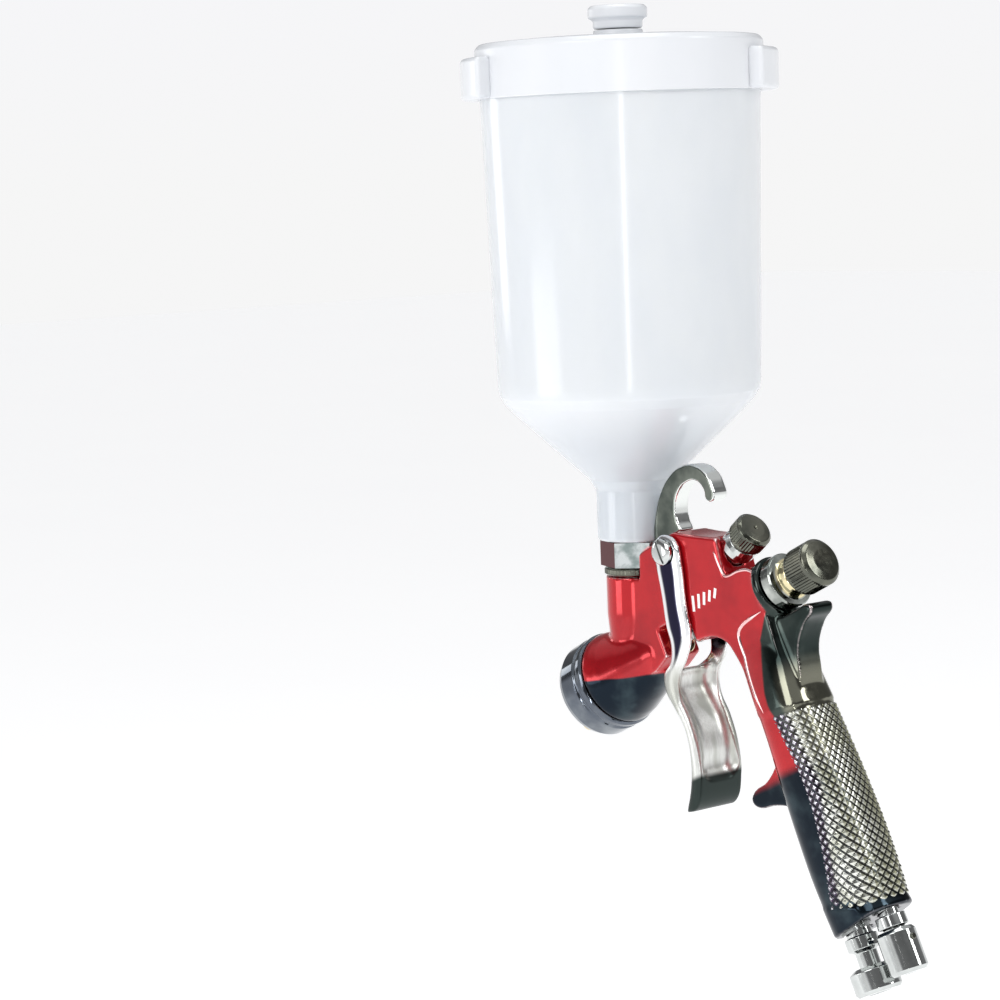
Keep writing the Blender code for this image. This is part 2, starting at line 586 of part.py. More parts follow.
def make_lid(plastic, rubber):
    wall = LID_R - RIM_R - CLEAR
    lid = turned("cup_lid", [
        (VENT_NECK_R, LID_TOP_Z + 1.6), (VENT_NECK_R, LID_TOP_Z), (LID_R - 10.0, LID_EDGE_Z + 0.6),
        (LID_R - 1.4, LID_EDGE_Z), (LID_R, LID_EDGE_Z - 1.6), (LID_R, LID_SKIRT_Z)],
        plastic, CUP, bore=[
        (LID_R - wall, LID_SKIRT_Z), (LID_R - wall, RIM_Z + 2.2), (2.3, RIM_Z + 3.4),
        (2.3, LID_TOP_Z + 1.6)], steps=40)
    join(lid, lug("lug_a", LUG_AZIMUTH), lug("lug_b", LUG_AZIMUTH + math.pi))
    turned("lid_gasket", [
        (RIM_R, RIM_Z + 1.8), (RIM_R, RIM_Z + CLEAR)], rubber, CUP, bore=[
        (RIM_R - 3.4, RIM_Z + CLEAR), (RIM_R - 3.4, RIM_Z + 1.8)], steps=32)
    turned("vent_cap", [
        (VENT_R - 1.0, VENT_TOP_Z), (VENT_R, VENT_TOP_Z - 1.0), (VENT_R, 210.9), (8.6, 210.4),
        (VENT_NECK_R, 209.8), (VENT_NECK_R, LID_TOP_Z + 1.6 + CLEAR), (1.9, LID_TOP_Z + 1.6 + CLEAR),
        (1.9, 202.2)], plastic, CUP)


# --- assembly -----------------------------------------------------------------------------------

clear_scene()
PARTS = new_collection("hvlp_spray_gun")
CUTTERS = new_collection("cutters")

tilt = Matrix.Rotation(-NOZZLE_TILT, 3, "Y")
crossing = -(tilt @ Vector((SADDLE[0], 0.0, SADDLE[1]))) * MM
GUN = new_empty("gun_axes", crossing, (0.0, -NOZZLE_TILT, 0.0))
CUP = new_empty("cup_axes", crossing, (0.0, 0.0, 0.0))
PATTERN = new_empty("pattern_axes", (PATTERN_PLACE[0] * MM, 0.0, PATTERN_PLACE[1] * MM),
                    (0.0, math.radians(90.0) - PATTERN_TILT, 0.0))
PATTERN.parent = GUN
bpy.context.view_layer.update()

RED = new_material("candy_red_casting", (0.55, 0.02, 0.03), 0.7, 0.2)
CHROME = new_material("chrome", (0.8, 0.81, 0.82), 1.0, 0.08)
DARK = new_material("dark_chrome", (0.16, 0.17, 0.14), 1.0, 0.25)
STEEL = new_material("brushed_steel", (0.62, 0.62, 0.6), 1.0, 0.3)
BRASS = new_material("brass", (0.72, 0.55, 0.28), 1.0, 0.25)
PLASTIC = new_material("cup_plastic", (0.9, 0.9, 0.9), 0.0, 0.35, 0.3)
RUBBER = new_material("gasket_rubber", (0.05, 0.05, 0.05), 0.0, 0.7)

make_body(RED)
make_hook(CHROME)
make_air_cap_ring(CHROME)
make_air_cap(BRASS)
make_fluid_tip(STEEL)
make_distributor(STEEL)
make_needle(STEEL)
make_packing_nut(BRASS)
make_air_valve(STEEL, STEEL)
make_fluid_control(CHROME, DARK)
make_pattern_control(CHROME, DARK)
make_trigger(STEEL)
make_pivot(CHROME)
make_air_inlet(CHROME)
make_flow_valve(CHROME, DARK)
make_adapter(CHROME, DARK)
make_strainer(PLASTIC)
make_cup(PLASTIC)
make_lid(PLASTIC, RUBBER)
bpy.context.view_layer.update()
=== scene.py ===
import json
import math

import bmesh
import bpy
import numpy as np
from mathutils import Matrix, Vector
from mathutils.kdtree import KDTree


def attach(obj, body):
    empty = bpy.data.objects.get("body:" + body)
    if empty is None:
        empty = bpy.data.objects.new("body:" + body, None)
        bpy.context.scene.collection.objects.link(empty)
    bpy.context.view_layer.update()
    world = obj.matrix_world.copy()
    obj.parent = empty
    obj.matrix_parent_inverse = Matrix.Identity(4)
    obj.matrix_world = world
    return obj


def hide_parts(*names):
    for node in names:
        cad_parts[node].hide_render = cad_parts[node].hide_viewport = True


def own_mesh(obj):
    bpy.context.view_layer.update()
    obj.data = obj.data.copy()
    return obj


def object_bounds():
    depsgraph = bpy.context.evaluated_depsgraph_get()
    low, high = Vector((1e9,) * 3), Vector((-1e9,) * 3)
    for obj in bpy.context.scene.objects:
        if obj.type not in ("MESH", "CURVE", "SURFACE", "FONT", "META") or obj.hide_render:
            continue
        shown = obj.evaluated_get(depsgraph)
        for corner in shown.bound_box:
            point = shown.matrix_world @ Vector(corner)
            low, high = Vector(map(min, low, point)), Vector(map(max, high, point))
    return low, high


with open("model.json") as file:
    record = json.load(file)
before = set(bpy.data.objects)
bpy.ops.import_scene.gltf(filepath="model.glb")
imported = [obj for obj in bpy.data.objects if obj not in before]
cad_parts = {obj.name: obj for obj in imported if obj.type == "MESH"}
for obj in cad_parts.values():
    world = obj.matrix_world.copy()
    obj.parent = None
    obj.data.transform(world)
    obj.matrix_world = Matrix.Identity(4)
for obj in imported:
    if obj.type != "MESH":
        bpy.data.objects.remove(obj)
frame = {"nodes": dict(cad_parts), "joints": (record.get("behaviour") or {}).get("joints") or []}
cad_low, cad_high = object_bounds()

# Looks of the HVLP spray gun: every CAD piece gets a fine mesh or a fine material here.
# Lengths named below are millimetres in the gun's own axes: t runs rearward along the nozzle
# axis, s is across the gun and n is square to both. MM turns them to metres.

MM = 0.001
JOINTS = {joint["name"]: joint for joint in frame["joints"]}
PLACES = {name: Vector(joint["pos_m"]) for name, joint in JOINTS.items() if "pos_m" in joint}
CROSSING = PLACES["fluid_knob_turn"]                # nozzle axis meets the cup's axis
ALONG = Vector(JOINTS["fluid_knob_turn"]["axis"])   # t
ACROSS = Vector((0.0, 1.0, 0.0))                    # s
UPWARD = ALONG.cross(ACROSS)                        # n
UP = Vector((0.0, 0.0, 1.0))


def axes(origin, z_axis, x_axis):
    """A matrix whose Z runs along z_axis and whose X runs along x_axis."""
    y_axis = z_axis.cross(x_axis)
    matrix = Matrix((x_axis, y_axis, z_axis)).transposed().to_4x4()
    matrix.translation = origin
    return matrix


def at_gun(t, s, n):
    """The world place of a point given in gun millimetres."""
    return CROSSING + (ALONG * t + ACROSS * s + UPWARD * n) * MM


GUN = axes(CROSSING, UPWARD, ALONG)                 # X = t, Y = s, Z = n
NOZZLE = axes(CROSSING, ALONG, UPWARD)
NOZZLE_SIDE = axes(CROSSING, ALONG, ACROSS)
PATTERN_AXIS = Vector(JOINTS["pattern_knob_turn"]["axis"])
PATTERN = axes(PLACES["pattern_knob_turn"], PATTERN_AXIS, ACROSS.cross(PATTERN_AXIS))
INLET = axes(PLACES["inlet_nut_swivel"], -UPWARD, -ALONG)
VALVE = axes(PLACES["flow_knob_turn"], -UPWARD, -ALONG)
CUP = axes(CROSSING, UP, Vector((1.0, 0.0, 0.0)))
PLAIN_LID_ANGLE = math.radians(135.0)               # clear of the lid's lugs
LID = axes(CROSSING, UP, Vector((math.cos(PLAIN_LID_ANGLE), math.sin(PLAIN_LID_ANGLE), 0.0)))
PIVOT = axes(PLACES["trigger_pull"], ACROSS, ALONG)


# --- mesh tools ---

def placed(name, data):
    piece = bpy.data.objects.new(name, data)
    bpy.context.scene.collection.objects.link(piece)
    return piece


def new_piece(name, mesh, material, body, slot, *nodes):
    """Puts a finished world-space mesh in the scene, riding on its body in place of CAD nodes."""
    piece = placed(name, mesh)
    mesh.materials.clear()
    mesh.materials.append(material)
    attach(piece, body)
    if nodes:
        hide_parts(*nodes)
    return piece


def mesh_of(name, shape):
    """Turns a bmesh into a mesh whose faces look outward."""
    bmesh.ops.recalc_face_normals(shape, faces=shape.faces)
    mesh = bpy.data.meshes.new(name)
    shape.to_mesh(mesh)
    shape.free()
    return mesh


def smooth(mesh, angle=35.0):
    """Smooth shading with sharp edges where faces meet at more than angle, in degrees."""
    mesh.shade_smooth()
    mesh.set_sharp_from_angle(angle=math.radians(angle))


def even_shading(piece):
    """Keeps flat faces flat between their rounded edges."""
    weighted = piece.modifiers.new("even shading", "WEIGHTED_NORMAL")
    weighted.keep_sharp = True
    weighted.weight = 60


def bevelled(piece, width, segments, angle=50.0):
    """Rounds the edges sharper than angle, in degrees; width in millimetres."""
    bevel = piece.modifiers.new("rounded edges", "BEVEL")
    bevel.width = width * MM
    bevel.segments = segments
    bevel.limit_method = "ANGLE"
    bevel.angle_limit = math.radians(angle)


def profile_of(node, place):
    """The (radius, height) outline of a turned CAD node in the XZ half plane of place, in metres."""
    to_place = place.inverted()
    local = [to_place @ v.co for v in frame["nodes"][node].data.vertices]
    near = {}
    points = {}
    for index, p in enumerate(local):
        if abs(p.y) < 2e-6 and p.x > -2e-6:
            key = (round(p.x * 2e5), round(p.z * 2e5))
            near[index] = key
            points[key] = (max(p.x, 0.0), p.z)
    links = {key: set() for key in points}
    for edge in frame["nodes"][node].data.edges:
        a, b = (near.get(i) for i in edge.vertices)
        if a and b and a != b:
            links[a].add(b)
            links[b].add(a)
    ends = sorted(key for key in links if len(links[key]) == 1)
    closed = not ends
    walk = [ends[0] if ends else min(links)]
    while True:
        onward = [key for key in sorted(links[walk[-1]]) if key not in walk]
        if not onward:
            break
        walk.append(onward[0])
    outline = [points[key] for key in walk]
    if not closed:
        outline = [(0.0, outline[0][1]), *outline, (0.0, outline[-1][1])]
    return outline, closed


def rounded(outline, closed, radius, parts=4):
    """The outline with its corners eased into short curves."""
    points = [Vector((r, h)) for r, h in outline]
    count = len(points)
    eased = []
    for i, point in enumerate(points):
        before, after = points[i - 1], points[(i + 1) % count]
        at_end = not closed and i in (0, count - 1)
        if at_end or point.x < 1e-7:
            eased.append(tuple(point))
            continue
        back, onward = before - point, after - point
        turn = math.pi - back.angle(onward, math.pi)
        if turn < math.radians(9.0):
            eased.append(tuple(point))
            continue
        reach = min(radius * MM * math.tan(turn / 2), 0.42 * back.length, 0.42 * onward.length)
        back, onward = back.normalized() * reach, onward.normalized() * reach
        for part in range(parts + 1):
            s = part / parts
            eased.append(tuple(point + back * (1 - s) ** 2 + onward * s ** 2))
    return eased


def finely_split(outline, closed, spacing):
    """The outline with points added so that none are further apart than spacing."""
    fine = []
    count = len(outline)
    for i in range(count if closed else count - 1):
        (r0, h0), (r1, h1) = outline[i], outline[(i + 1) % count]
        pieces = max(1, math.ceil(math.hypot(r1 - r0, h1 - h0) / (spacing * MM)))
        fine += [(r0 + (r1 - r0) * k / pieces, h0 + (h1 - h0) * k / pieces) for k in range(pieces)]
    if not closed:
        fine.append(outline[-1])
    return fine


def spun(name, outline, closed, place, steps=96, relief=None):
    """A turned mesh; relief(radius, height, angle) gives its surface a depth in metres."""
    angles = np.arange(steps) * 2 * math.pi / steps
    points = np.array(outline)
    radius = np.repeat(points[:, :1], steps, axis=1)
    height = np.repeat(points[:, 1:], steps, axis=1)
    if relief:
        radius = radius - relief(radius, height, angles[None, :])
    local = np.stack([radius * np.cos(angles), radius * np.sin(angles), height], axis=2)
    shape = bmesh.new()
    rings = [[shape.verts.new(place @ Vector(p)) for p in ring] for ring in local]
    pairs = list(zip(rings, rings[1:]))
    if closed:
        pairs.append((rings[-1], rings[0]))
    for upper, lower in pairs:
        for i in range(steps):
            j = (i + 1) % steps
            shape.faces.new((upper[i], upper[j], lower[j], lower[i]))
    bmesh.ops.remove_doubles(shape, verts=shape.verts, dist=1e-7)
    bmesh.ops.dissolve_degenerate(shape, edges=shape.edges, dist=1e-8)
    mesh = mesh_of(name, shape)
    smooth(mesh)
    return mesh


def skin(shape, rings, full_turn=True):
    """Faces between neighbouring rings of points, with closed ends, or between open rows."""
    count = len(rings[0])
    for upper, lower in zip(rings, rings[1:]):
        for i in range(count if full_turn else count - 1):
            j = (i + 1) % count
            shape.faces.new((upper[i], lower[i], lower[j], upper[j]))
    if full_turn:
        shape.faces.new(rings[0])
        shape.faces.new(reversed(rings[-1]))


def turned(node, place, material, body, slot, edge=0.3, steps=96, relief=None, spacing=None):
    """A fine turned piece with eased corners, in place of a turned CAD node."""
    outline, closed = profile_of(node, place)
    outline = rounded(outline, closed, edge)
    if spacing:
        outline = finely_split(outline, closed, spacing)
    mesh = spun(node + "_fine", outline, closed, place, steps, relief)
    even_shading(new_piece(node + "_fine", mesh, material, body, slot, node))


def lathe_solid(points, place, steps=96):
    """A turned solid from (radius, height) millimetres, top to bottom, as a loose object."""
    outline = [(0.0, points[0][1]), *points, (0.0, points[-1][1])]
    outline = [(r * MM, h * MM) for r, h in outline]
    return loose(spun("solid", outline, False, place, steps))


def loose(data):
    return placed("solid", data)


def mesh_from(piece):
    """The mesh of a loose object with its modifiers applied; the object goes."""
    bpy.context.view_layer.update()
    mesh = bpy.data.meshes.new_from_object(piece.evaluated_get(bpy.context.evaluated_depsgraph_get()))
    bpy.data.objects.remove(piece, do_unlink=True)
    return mesh


def outline_solid(points, half_thickness, edge=0.0, resolution=10, offset=0.0):
    """A plate in the gun's side plane, smooth through (t, n) and sharp at (t, n, True) points."""
    curve = bpy.data.curves.new("outline", "CURVE")
    curve.dimensions = "2D"
    curve.fill_mode = "BOTH"
    curve.extrude = half_thickness * MM
    spline = curve.splines.new("BEZIER")
    spline.bezier_points.add(len(points) - 1)
    spline.use_cyclic_u = True
    spline.resolution_u = resolution
    for knot, (t, n, *corner) in zip(spline.bezier_points, points):
        knot.co = (t * MM, n * MM, 0.0)
        knot.handle_left_type = knot.handle_right_type = "VECTOR" if corner else "AUTO"
    shape = bmesh.new()
    shape.from_mesh(mesh_from(loose(curve)))
    bmesh.ops.remove_doubles(shape, verts=shape.verts, dist=1e-6)
    side = axes(at_gun(0, offset, 0), -ACROSS, ALONG)
    bmesh.ops.transform(shape, matrix=side, verts=shape.verts)
    solid = loose(mesh_of("solid", shape))
    if edge:
        bevelled(solid, edge, 4)
    return solid


def rod_solid(radius, bottom, top, place, steps=48):
    return lathe_solid([(radius, top), (radius, bottom)], place, steps)


def carved(base, joined=(), removed=()):
    """The mesh of base with solids joined to it and others removed; all loose objects go."""
    for operation, others in (("UNION", joined), ("DIFFERENCE", removed)):
        for other in others:
            step = base.modifiers.new("carve", "BOOLEAN")
            step.operation = operation
            step.solver = "MANIFOLD"
            step.object = other
    mesh = mesh_from(base)
    for piece in (*joined, *removed):
        bpy.data.objects.remove(piece, do_unlink=True)
    return mesh


def remeshed(mesh, voxel):
    """An even skin over the mesh, made square to the gun's axes so that its flats stay flat."""
    mesh.transform(GUN.inverted())
    piece = loose(mesh)
    even = piece.modifiers.new("skin", "REMESH")
    even.mode = "VOXEL"
    even.voxel_size = voxel * MM
    even.use_smooth_shade = True
    fine = mesh_from(piece)
    fine.transform(GUN)
    return fine


def points_of(mesh):
    points = np.zeros(len(mesh.vertices) * 3)
    mesh.vertices.foreach_get("co", points)
    return points.reshape(-1, 3)


def normals_of(mesh):
    normals = np.zeros(len(mesh.vertices) * 3)
    mesh.vertex_normals.foreach_get("vector", normals)
    return normals.reshape(-1, 3)


def set_points(mesh, points):
    mesh.vertices.foreach_set("co", points.astype(np.float32).ravel())
    mesh.update()


def kept_apart(mesh):
    """Slides a few points along the surface by a micrometre, so none is taken for its neighbour.

    The renderer joins points under 0.35 mm apart whose x + y + z agree, and has spots there.
    """
    points, normals = points_of(mesh), normals_of(mesh)
    slide = 1.0 - normals * normals.sum(axis=1)[:, None]
    slide /= np.maximum(slide.sum(axis=1), 0.1)[:, None]
    same_sum, same_place = 6e-7, 0.36 * MM
    for _ in range(12):
        sums = points.sum(axis=1)
        order = np.argsort(sums, kind="stable")
        joined = np.zeros(len(points), bool)
        for ahead in (1, 2, 3, 4):
            a, b = order[:-ahead], order[ahead:]
            close = sums[b] - sums[a] < same_sum
            close &= np.linalg.norm(points[b] - points[a], axis=1) < same_place
            joined[b[close]] = True
        if not joined.any():
            break
        points[joined] += slide[joined] * 2 * same_sum
    set_points(mesh, points)


def relaxed(mesh, rounds, filling):
    """Smooths the skin: first everywhere, then only its inner corners, which fill like a casting's."""
    ends = np.zeros(len(mesh.edges) * 2, np.int64)
    mesh.edges.foreach_get("vertices", ends)
    a, b = ends[::2], ends[1::2]
    count = len(mesh.vertices)
    links = (np.bincount(a, minlength=count) + np.bincount(b, minlength=count))[:, None]
    points = points_of(mesh)
    for step in range(rounds + filling):
        sums = np.stack([np.bincount(a, points[b, k], count) + np.bincount(b, points[a, k], count)
                         for k in range(3)], axis=1)
        move = sums / links - points
        if step >= rounds:
            if (step - rounds) % 6 == 0:
                set_points(mesh, points)
                normals = normals_of(mesh)
            outward = (move * normals).sum(axis=1)
            move *= (outward > 0.002 * MM)[:, None]
        points = points + 0.5 * move
    set_points(mesh, points)
    mesh.shade_smooth()
    return mesh


def eased(mesh, edge_points, band, half, width, depth):
    """Draws faces square to s towards the gun's middle near an edge, in a quarter ellipse.

    Only points whose distance from the middle is inside band (mm) move; the faces are half away.
    """
    to_gun = GUN.inverted()
    local = [to_gun @ Vector(v) for v in edge_points]
    edge = sorted({(round(p.x * 1e5), round(p.z * 1e5)) for p in local})
    tree = KDTree(len(edge))
    for index, (t, n) in enumerate(edge):
        tree.insert((t * 0.01, n * 0.01, 0.0), index)
    tree.balance()
    for vert in mesh.vertices:
        place = to_gun @ vert.co / MM
        if not band[0] <= abs(place.y) <= band[1]:
            continue
        away = tree.find((place.x, place.z, 0.0))[2]
        if away < width:
            u = 1.0 - away / width
            reach = half - depth * (1.0 - math.sqrt(1.0 - u * u))
            if abs(place.y) > reach:
                place.y = math.copysign(reach, place.y)
                vert.co = GUN @ (place * MM)


# --- material tools ---

class Finish:
    """A Principled material with short helpers for its procedural nodes."""

    def __init__(self, name, colour, roughness, metallic=0.0, **sockets):
        self.material = bpy.data.materials.new(name)
        self.material.use_nodes = True
        self.tree = self.material.node_tree
        self.shader = self.tree.nodes["Principled BSDF"]
        self.place = self.node("TexCoord")["Object"]
        self.shader.inputs["Base Color"].default_value = (*colour, 1.0)
        self.shader.inputs["Roughness"].default_value = roughness
        self.shader.inputs["Metallic"].default_value = metallic
        for socket, value in sockets.items():
            self.shader.inputs[socket.replace("_", " ")].default_value = value

    def node(self, kind, inputs=(), **settings):
        """The outputs of a new shader node; inputs gives sockets a value or another node's output."""
        made = self.tree.nodes.new("ShaderNode" + kind)
        for setting, value in settings.items():
            setattr(made, setting, value)
        for socket, value in dict(inputs).items():
            if isinstance(value, bpy.types.NodeSocket):
                self.tree.links.new(value, made.inputs[socket])
            else:
                made.inputs[socket].default_value = value
        return made.outputs

    def feed(self, socket, source):
        self.tree.links.new(source, self.shader.inputs[socket])

    def value(self, operation, *operands):
        """A Math node over numbers and sockets."""
        return self.node("Math", enumerate(operands), operation=operation)[0]

    def along(self, direction, origin=CROSSING):
        """Millimetres from origin along a direction."""
        shifted = self.node("VectorMath", {0: self.place, 1: origin}, operation="SUBTRACT")[0]
        return self.node("VectorMath", {0: shifted, 1: Vector(direction) / MM},
                         operation="DOT_PRODUCT")["Value"]

    def facing(self, direction):
        """How squarely the surface faces a direction, from -1 to 1."""
        normal = self.node("NewGeometry")["Normal"]
        return self.node("VectorMath", {0: normal, 1: direction}, operation="DOT_PRODUCT")["Value"]

    def ramp(self, source, low, high, out_low=0.0, out_high=1.0, kind="SMOOTHSTEP"):
        """Maps source from low..high to out_low..out_high, held beyond them."""
        return self.node("MapRange", {"Value": source, "From Min": low, "From Max": high,
                                      "To Min": out_low, "To Max": out_high},
                         interpolation_type=kind)["Result"]

    def noise(self, per_mm, detail=3.0, stretch=(1.0, 1.0, 1.0), turn=(0.0, 0.0, 0.0)):
        """Noise with per_mm features in a millimetre, stretched along the turned axes."""
        scale = [per_mm / MM / s for s in stretch]
        place = self.node("Mapping", {"Vector": self.place, "Scale": scale, "Rotation": turn})[0]
        return self.node("TexNoise", {"Vector": place, "Scale": 1.0, "Detail": detail})["Fac"]

    def colours(self, factor, first, second):
        """Mixes two colours, each a value or a socket."""
        first, second = ((*c, 1.0) if isinstance(c, tuple) else c for c in (first, second))
        return self.node("Mix", {"Factor": factor, "A": first, "B": second},
                         data_type="RGBA")["Result"]

    def clouds(self, per_mm, low, high, first, second, detail=3.0):
        """Two colours in soft clouds; low and high are where the noise turns to the second."""
        return self.colours(self.ramp(self.noise(per_mm, detail), low, high), first, second)

    def sharpness(self):
        """Above 0.5 on outer edges and below it in grooves."""
        return self.node("NewGeometry")["Pointiness"]

    def gloss(self, smoothest, roughest, per_mm=0.6, detail=4.0):
        """Roughness that drifts over the surface."""
        self.feed("Roughness", self.ramp(self.noise(per_mm, detail), 0.3, 0.8, smoothest, roughest,
                                         "LINEAR"))

    def bump(self, height, depth):
        """Bump from a height socket, depth in millimetres."""
        self.feed("Normal", self.node("Bump", {"Distance": depth * MM, "Strength": 1.0,
                                               "Height": height})["Normal"])

    def as_plate(self, colour, smoothest, roughest):
        """Finishes a plated material of this colour; gives the material."""
        self.feed("Base Color", colour)
        self.gloss(smoothest, roughest)
        self.bump(self.noise(1.0, 5.0), 0.004)
        return self.material


def plated(name, colour, tone, roughness):
    """Polished plate: faint stains, changing gloss and hairline scratches."""
    mat = Finish(name, colour, roughness, 1.0, Coat_Weight=0.15)
    mat.feed("Base Color", mat.clouds(0.12, 0.35, 0.75, colour, tone, 4.0))
    mat.gloss(roughness * 0.7, roughness * 1.7, detail=5.0)
    mat.bump(mat.noise(1.3, 6.0, stretch=(6.0, 1.0, 1.0)), 0.004)
    return mat.material


def brushed(name, colour, tone, roughness, turn):
    """Metal ground along one direction."""
    mat = Finish(name, colour, roughness, 1.0)
    lines = mat.noise(5.0, 3.0, stretch=(1.0, 1.0, 70.0), turn=turn)
    mat.feed("Base Color", mat.colours(mat.ramp(lines, 0.3, 0.7), colour, tone))
    mat.feed("Roughness", mat.ramp(lines, 0.25, 0.75, roughness * 0.8, roughness * 1.4, "LINEAR"))
    mat.bump(lines, 0.02)
    return mat.material


# --- materials ---

# Painted reflections on the casting: the reds stand for a red plate mirrored in its polish,
# navy and dark green-grey stand for dark surroundings below and behind.
RED = (0.50, 0.008, 0.014)
DEEP_RED = (0.36, 0.004, 0.010)
NAVY = (0.004, 0.010, 0.018)
DARK_GREEN_REFLECTION = (0.012, 0.021, 0.019)
OLIVE = (0.20, 0.20, 0.155)
SILVER = (0.72, 0.73, 0.72)
BELL_SPLIT_Z, BELL_SPLIT_SLOPE = -60.2, 0.15   # painted red reflection above, painted navy reflection below on the spray head
FINGER_HOOK_N = -54.6                  # the handle's front turns to a painted navy reflection below this
SLEEVE_NECK = 6.6                      # the sleeve is brass inside this radius
PLAIN_SIDE = (0.63, 0.77, 0.0)         # the cup adapter is plain this way and has a painted red reflection the other way
CONE_TOP, CONE_SHADE_GREY = 94.0, (0.60, 0.64, 0.69)  # painted shade: the cup is greyer below this height, where it narrows and faces down


def casting_material():
    """Painted reflections on polish: red, turning dark under the head, on the spur and on the handle.
    """
    mat = Finish("candy_red_casting", RED, 0.14, 0.55, Coat_Weight=0.2, Coat_Roughness=0.12)
    t = mat.along(ALONG)
    n = mat.along(UPWARD)
    drift = mat.ramp(mat.noise(0.05, 2.0), 0.0, 1.0, -1.6, 1.6, "LINEAR")
    wavy_n = mat.value("ADD", n, drift)
    # Painted navy reflection under the spray head and low on the handle's front, where the polish
    # mirrors dark below.
    level = mat.along((-BELL_SPLIT_SLOPE, 0.0, 1.0), (0.0, 0.0, 0.0))
    wavy_level = mat.value("ADD", level, mat.value("MULTIPLY", drift, 0.5))
    painted_dark_under_head = mat.value("MULTIPLY", mat.ramp(wavy_level, BELL_SPLIT_Z, BELL_SPLIT_Z - 0.8),
                           mat.ramp(t, 16.5, 14.5))
    painted_dark_low_handle = mat.ramp(wavy_n, FINGER_HOOK_N + 1.5, FINGER_HOOK_N - 2.5)
    navy = mat.value("MAXIMUM", painted_dark_under_head, painted_dark_low_handle)
    # Behind these limits the casting takes a painted dark green-grey reflection: barrel rear, spur and
    # handle back.
    red_ends = mat.value("ADD", mat.ramp(n, -14.0, -7.0, 64.6, 70.9, "LINEAR"),
                         mat.ramp(n, -30.0, -14.0, -3.4, 0.0, "LINEAR"))
    red_ends = mat.value("ADD", red_ends, mat.ramp(n, -56.0, -34.0, 4.4, 0.0, "LINEAR"))
    dark_reflection_behind = mat.ramp(mat.value("SUBTRACT", t, red_ends), 0.0, 1.1)
    # painted red reflection, in clouds of two depths
    red = mat.clouds(0.06, 0.35, 0.75, RED, DEEP_RED)
    # painted navy reflection, in clouds
    dark = mat.clouds(0.10, 0.45, 0.75, NAVY, (0.028, 0.045, 0.055))
    dark_reflection_tones = mat.clouds(0.08, 0.40, 0.75, DARK_GREEN_REFLECTION, (0.05, 0.065, 0.058))
    # Painted olive reflection across the handle's back.
    grip_back = mat.value("MULTIPLY", mat.ramp(t, 66.0, 69.5), mat.ramp(n, -22.0, -30.0))
    dark_reflection_tones = mat.colours(grip_back, dark_reflection_tones, OLIVE)
    body = mat.colours(navy, mat.colours(dark_reflection_behind, red, dark_reflection_tones), dark)
    # Painted highlight: pale pink-white on the sharpest outer edges, where the polish catches light.
    rim_highlight = mat.ramp(mat.sharpness(), 0.522, 0.565)
    mat.feed("Base Color", mat.colours(rim_highlight, body, (0.90, 0.78, 0.78)))
    plate = mat.value("MAXIMUM", mat.value("MAXIMUM", dark_reflection_behind, navy), rim_highlight)
    mat.feed("Metallic", mat.ramp(plate, 0.0, 1.0, 0.45, 1.0, "LINEAR"))
    mat.gloss(0.08, 0.20, 0.5, 5.0)
    mat.bump(mat.noise(0.8, 4.0), 0.006)
    return mat.material


def knurl_material():
    """Painted light on chrome: bright points, shaded grooves, dark purple reflection in front, olive
    behind.
    """
    mat = Finish("knurled_plate", SILVER, 0.16, 1.0)
    sharpness = mat.sharpness()
    stains = mat.clouds(0.10, 0.38, 0.66, (0.74, 0.75, 0.71), (0.50, 0.51, 0.43))
    n = mat.along(UPWARD)
    t = mat.along(ALONG)
    starts = mat.value("ADD", mat.ramp(n, -63.0, -38.0, 65.0, 61.5, "LINEAR"),
                       mat.ramp(n, -101.0, -63.0, -9.5, 0.0, "LINEAR"))
    front = mat.ramp(mat.value("SUBTRACT", t, starts), 7.2, 5.2)
    # Painted highlight on the sharp points; painted dark purple reflection between them along the
    # front.
    tip_highlight = mat.ramp(sharpness, 0.52, 0.56)
    purple = mat.colours(tip_highlight, (0.05, 0.028, 0.065), (0.80, 0.80, 0.84))
    # Painted olive reflection on faces that look rearward.
    rear = mat.ramp(mat.facing(ALONG), 0.80, 0.96)
    toned = mat.colours(rear, stains, (0.30, 0.30, 0.20))
    toned = mat.colours(front, toned, purple)
    # Painted shade in the grooves.
    grooves = mat.ramp(sharpness, 0.46, 0.50)
    mat.feed("Base Color", mat.colours(grooves, (0.035, 0.035, 0.03), toned))
    mat.gloss(0.10, 0.26, 0.7)
    mat.bump(mat.noise(2.0, 4.0), 0.01)
    return mat.material


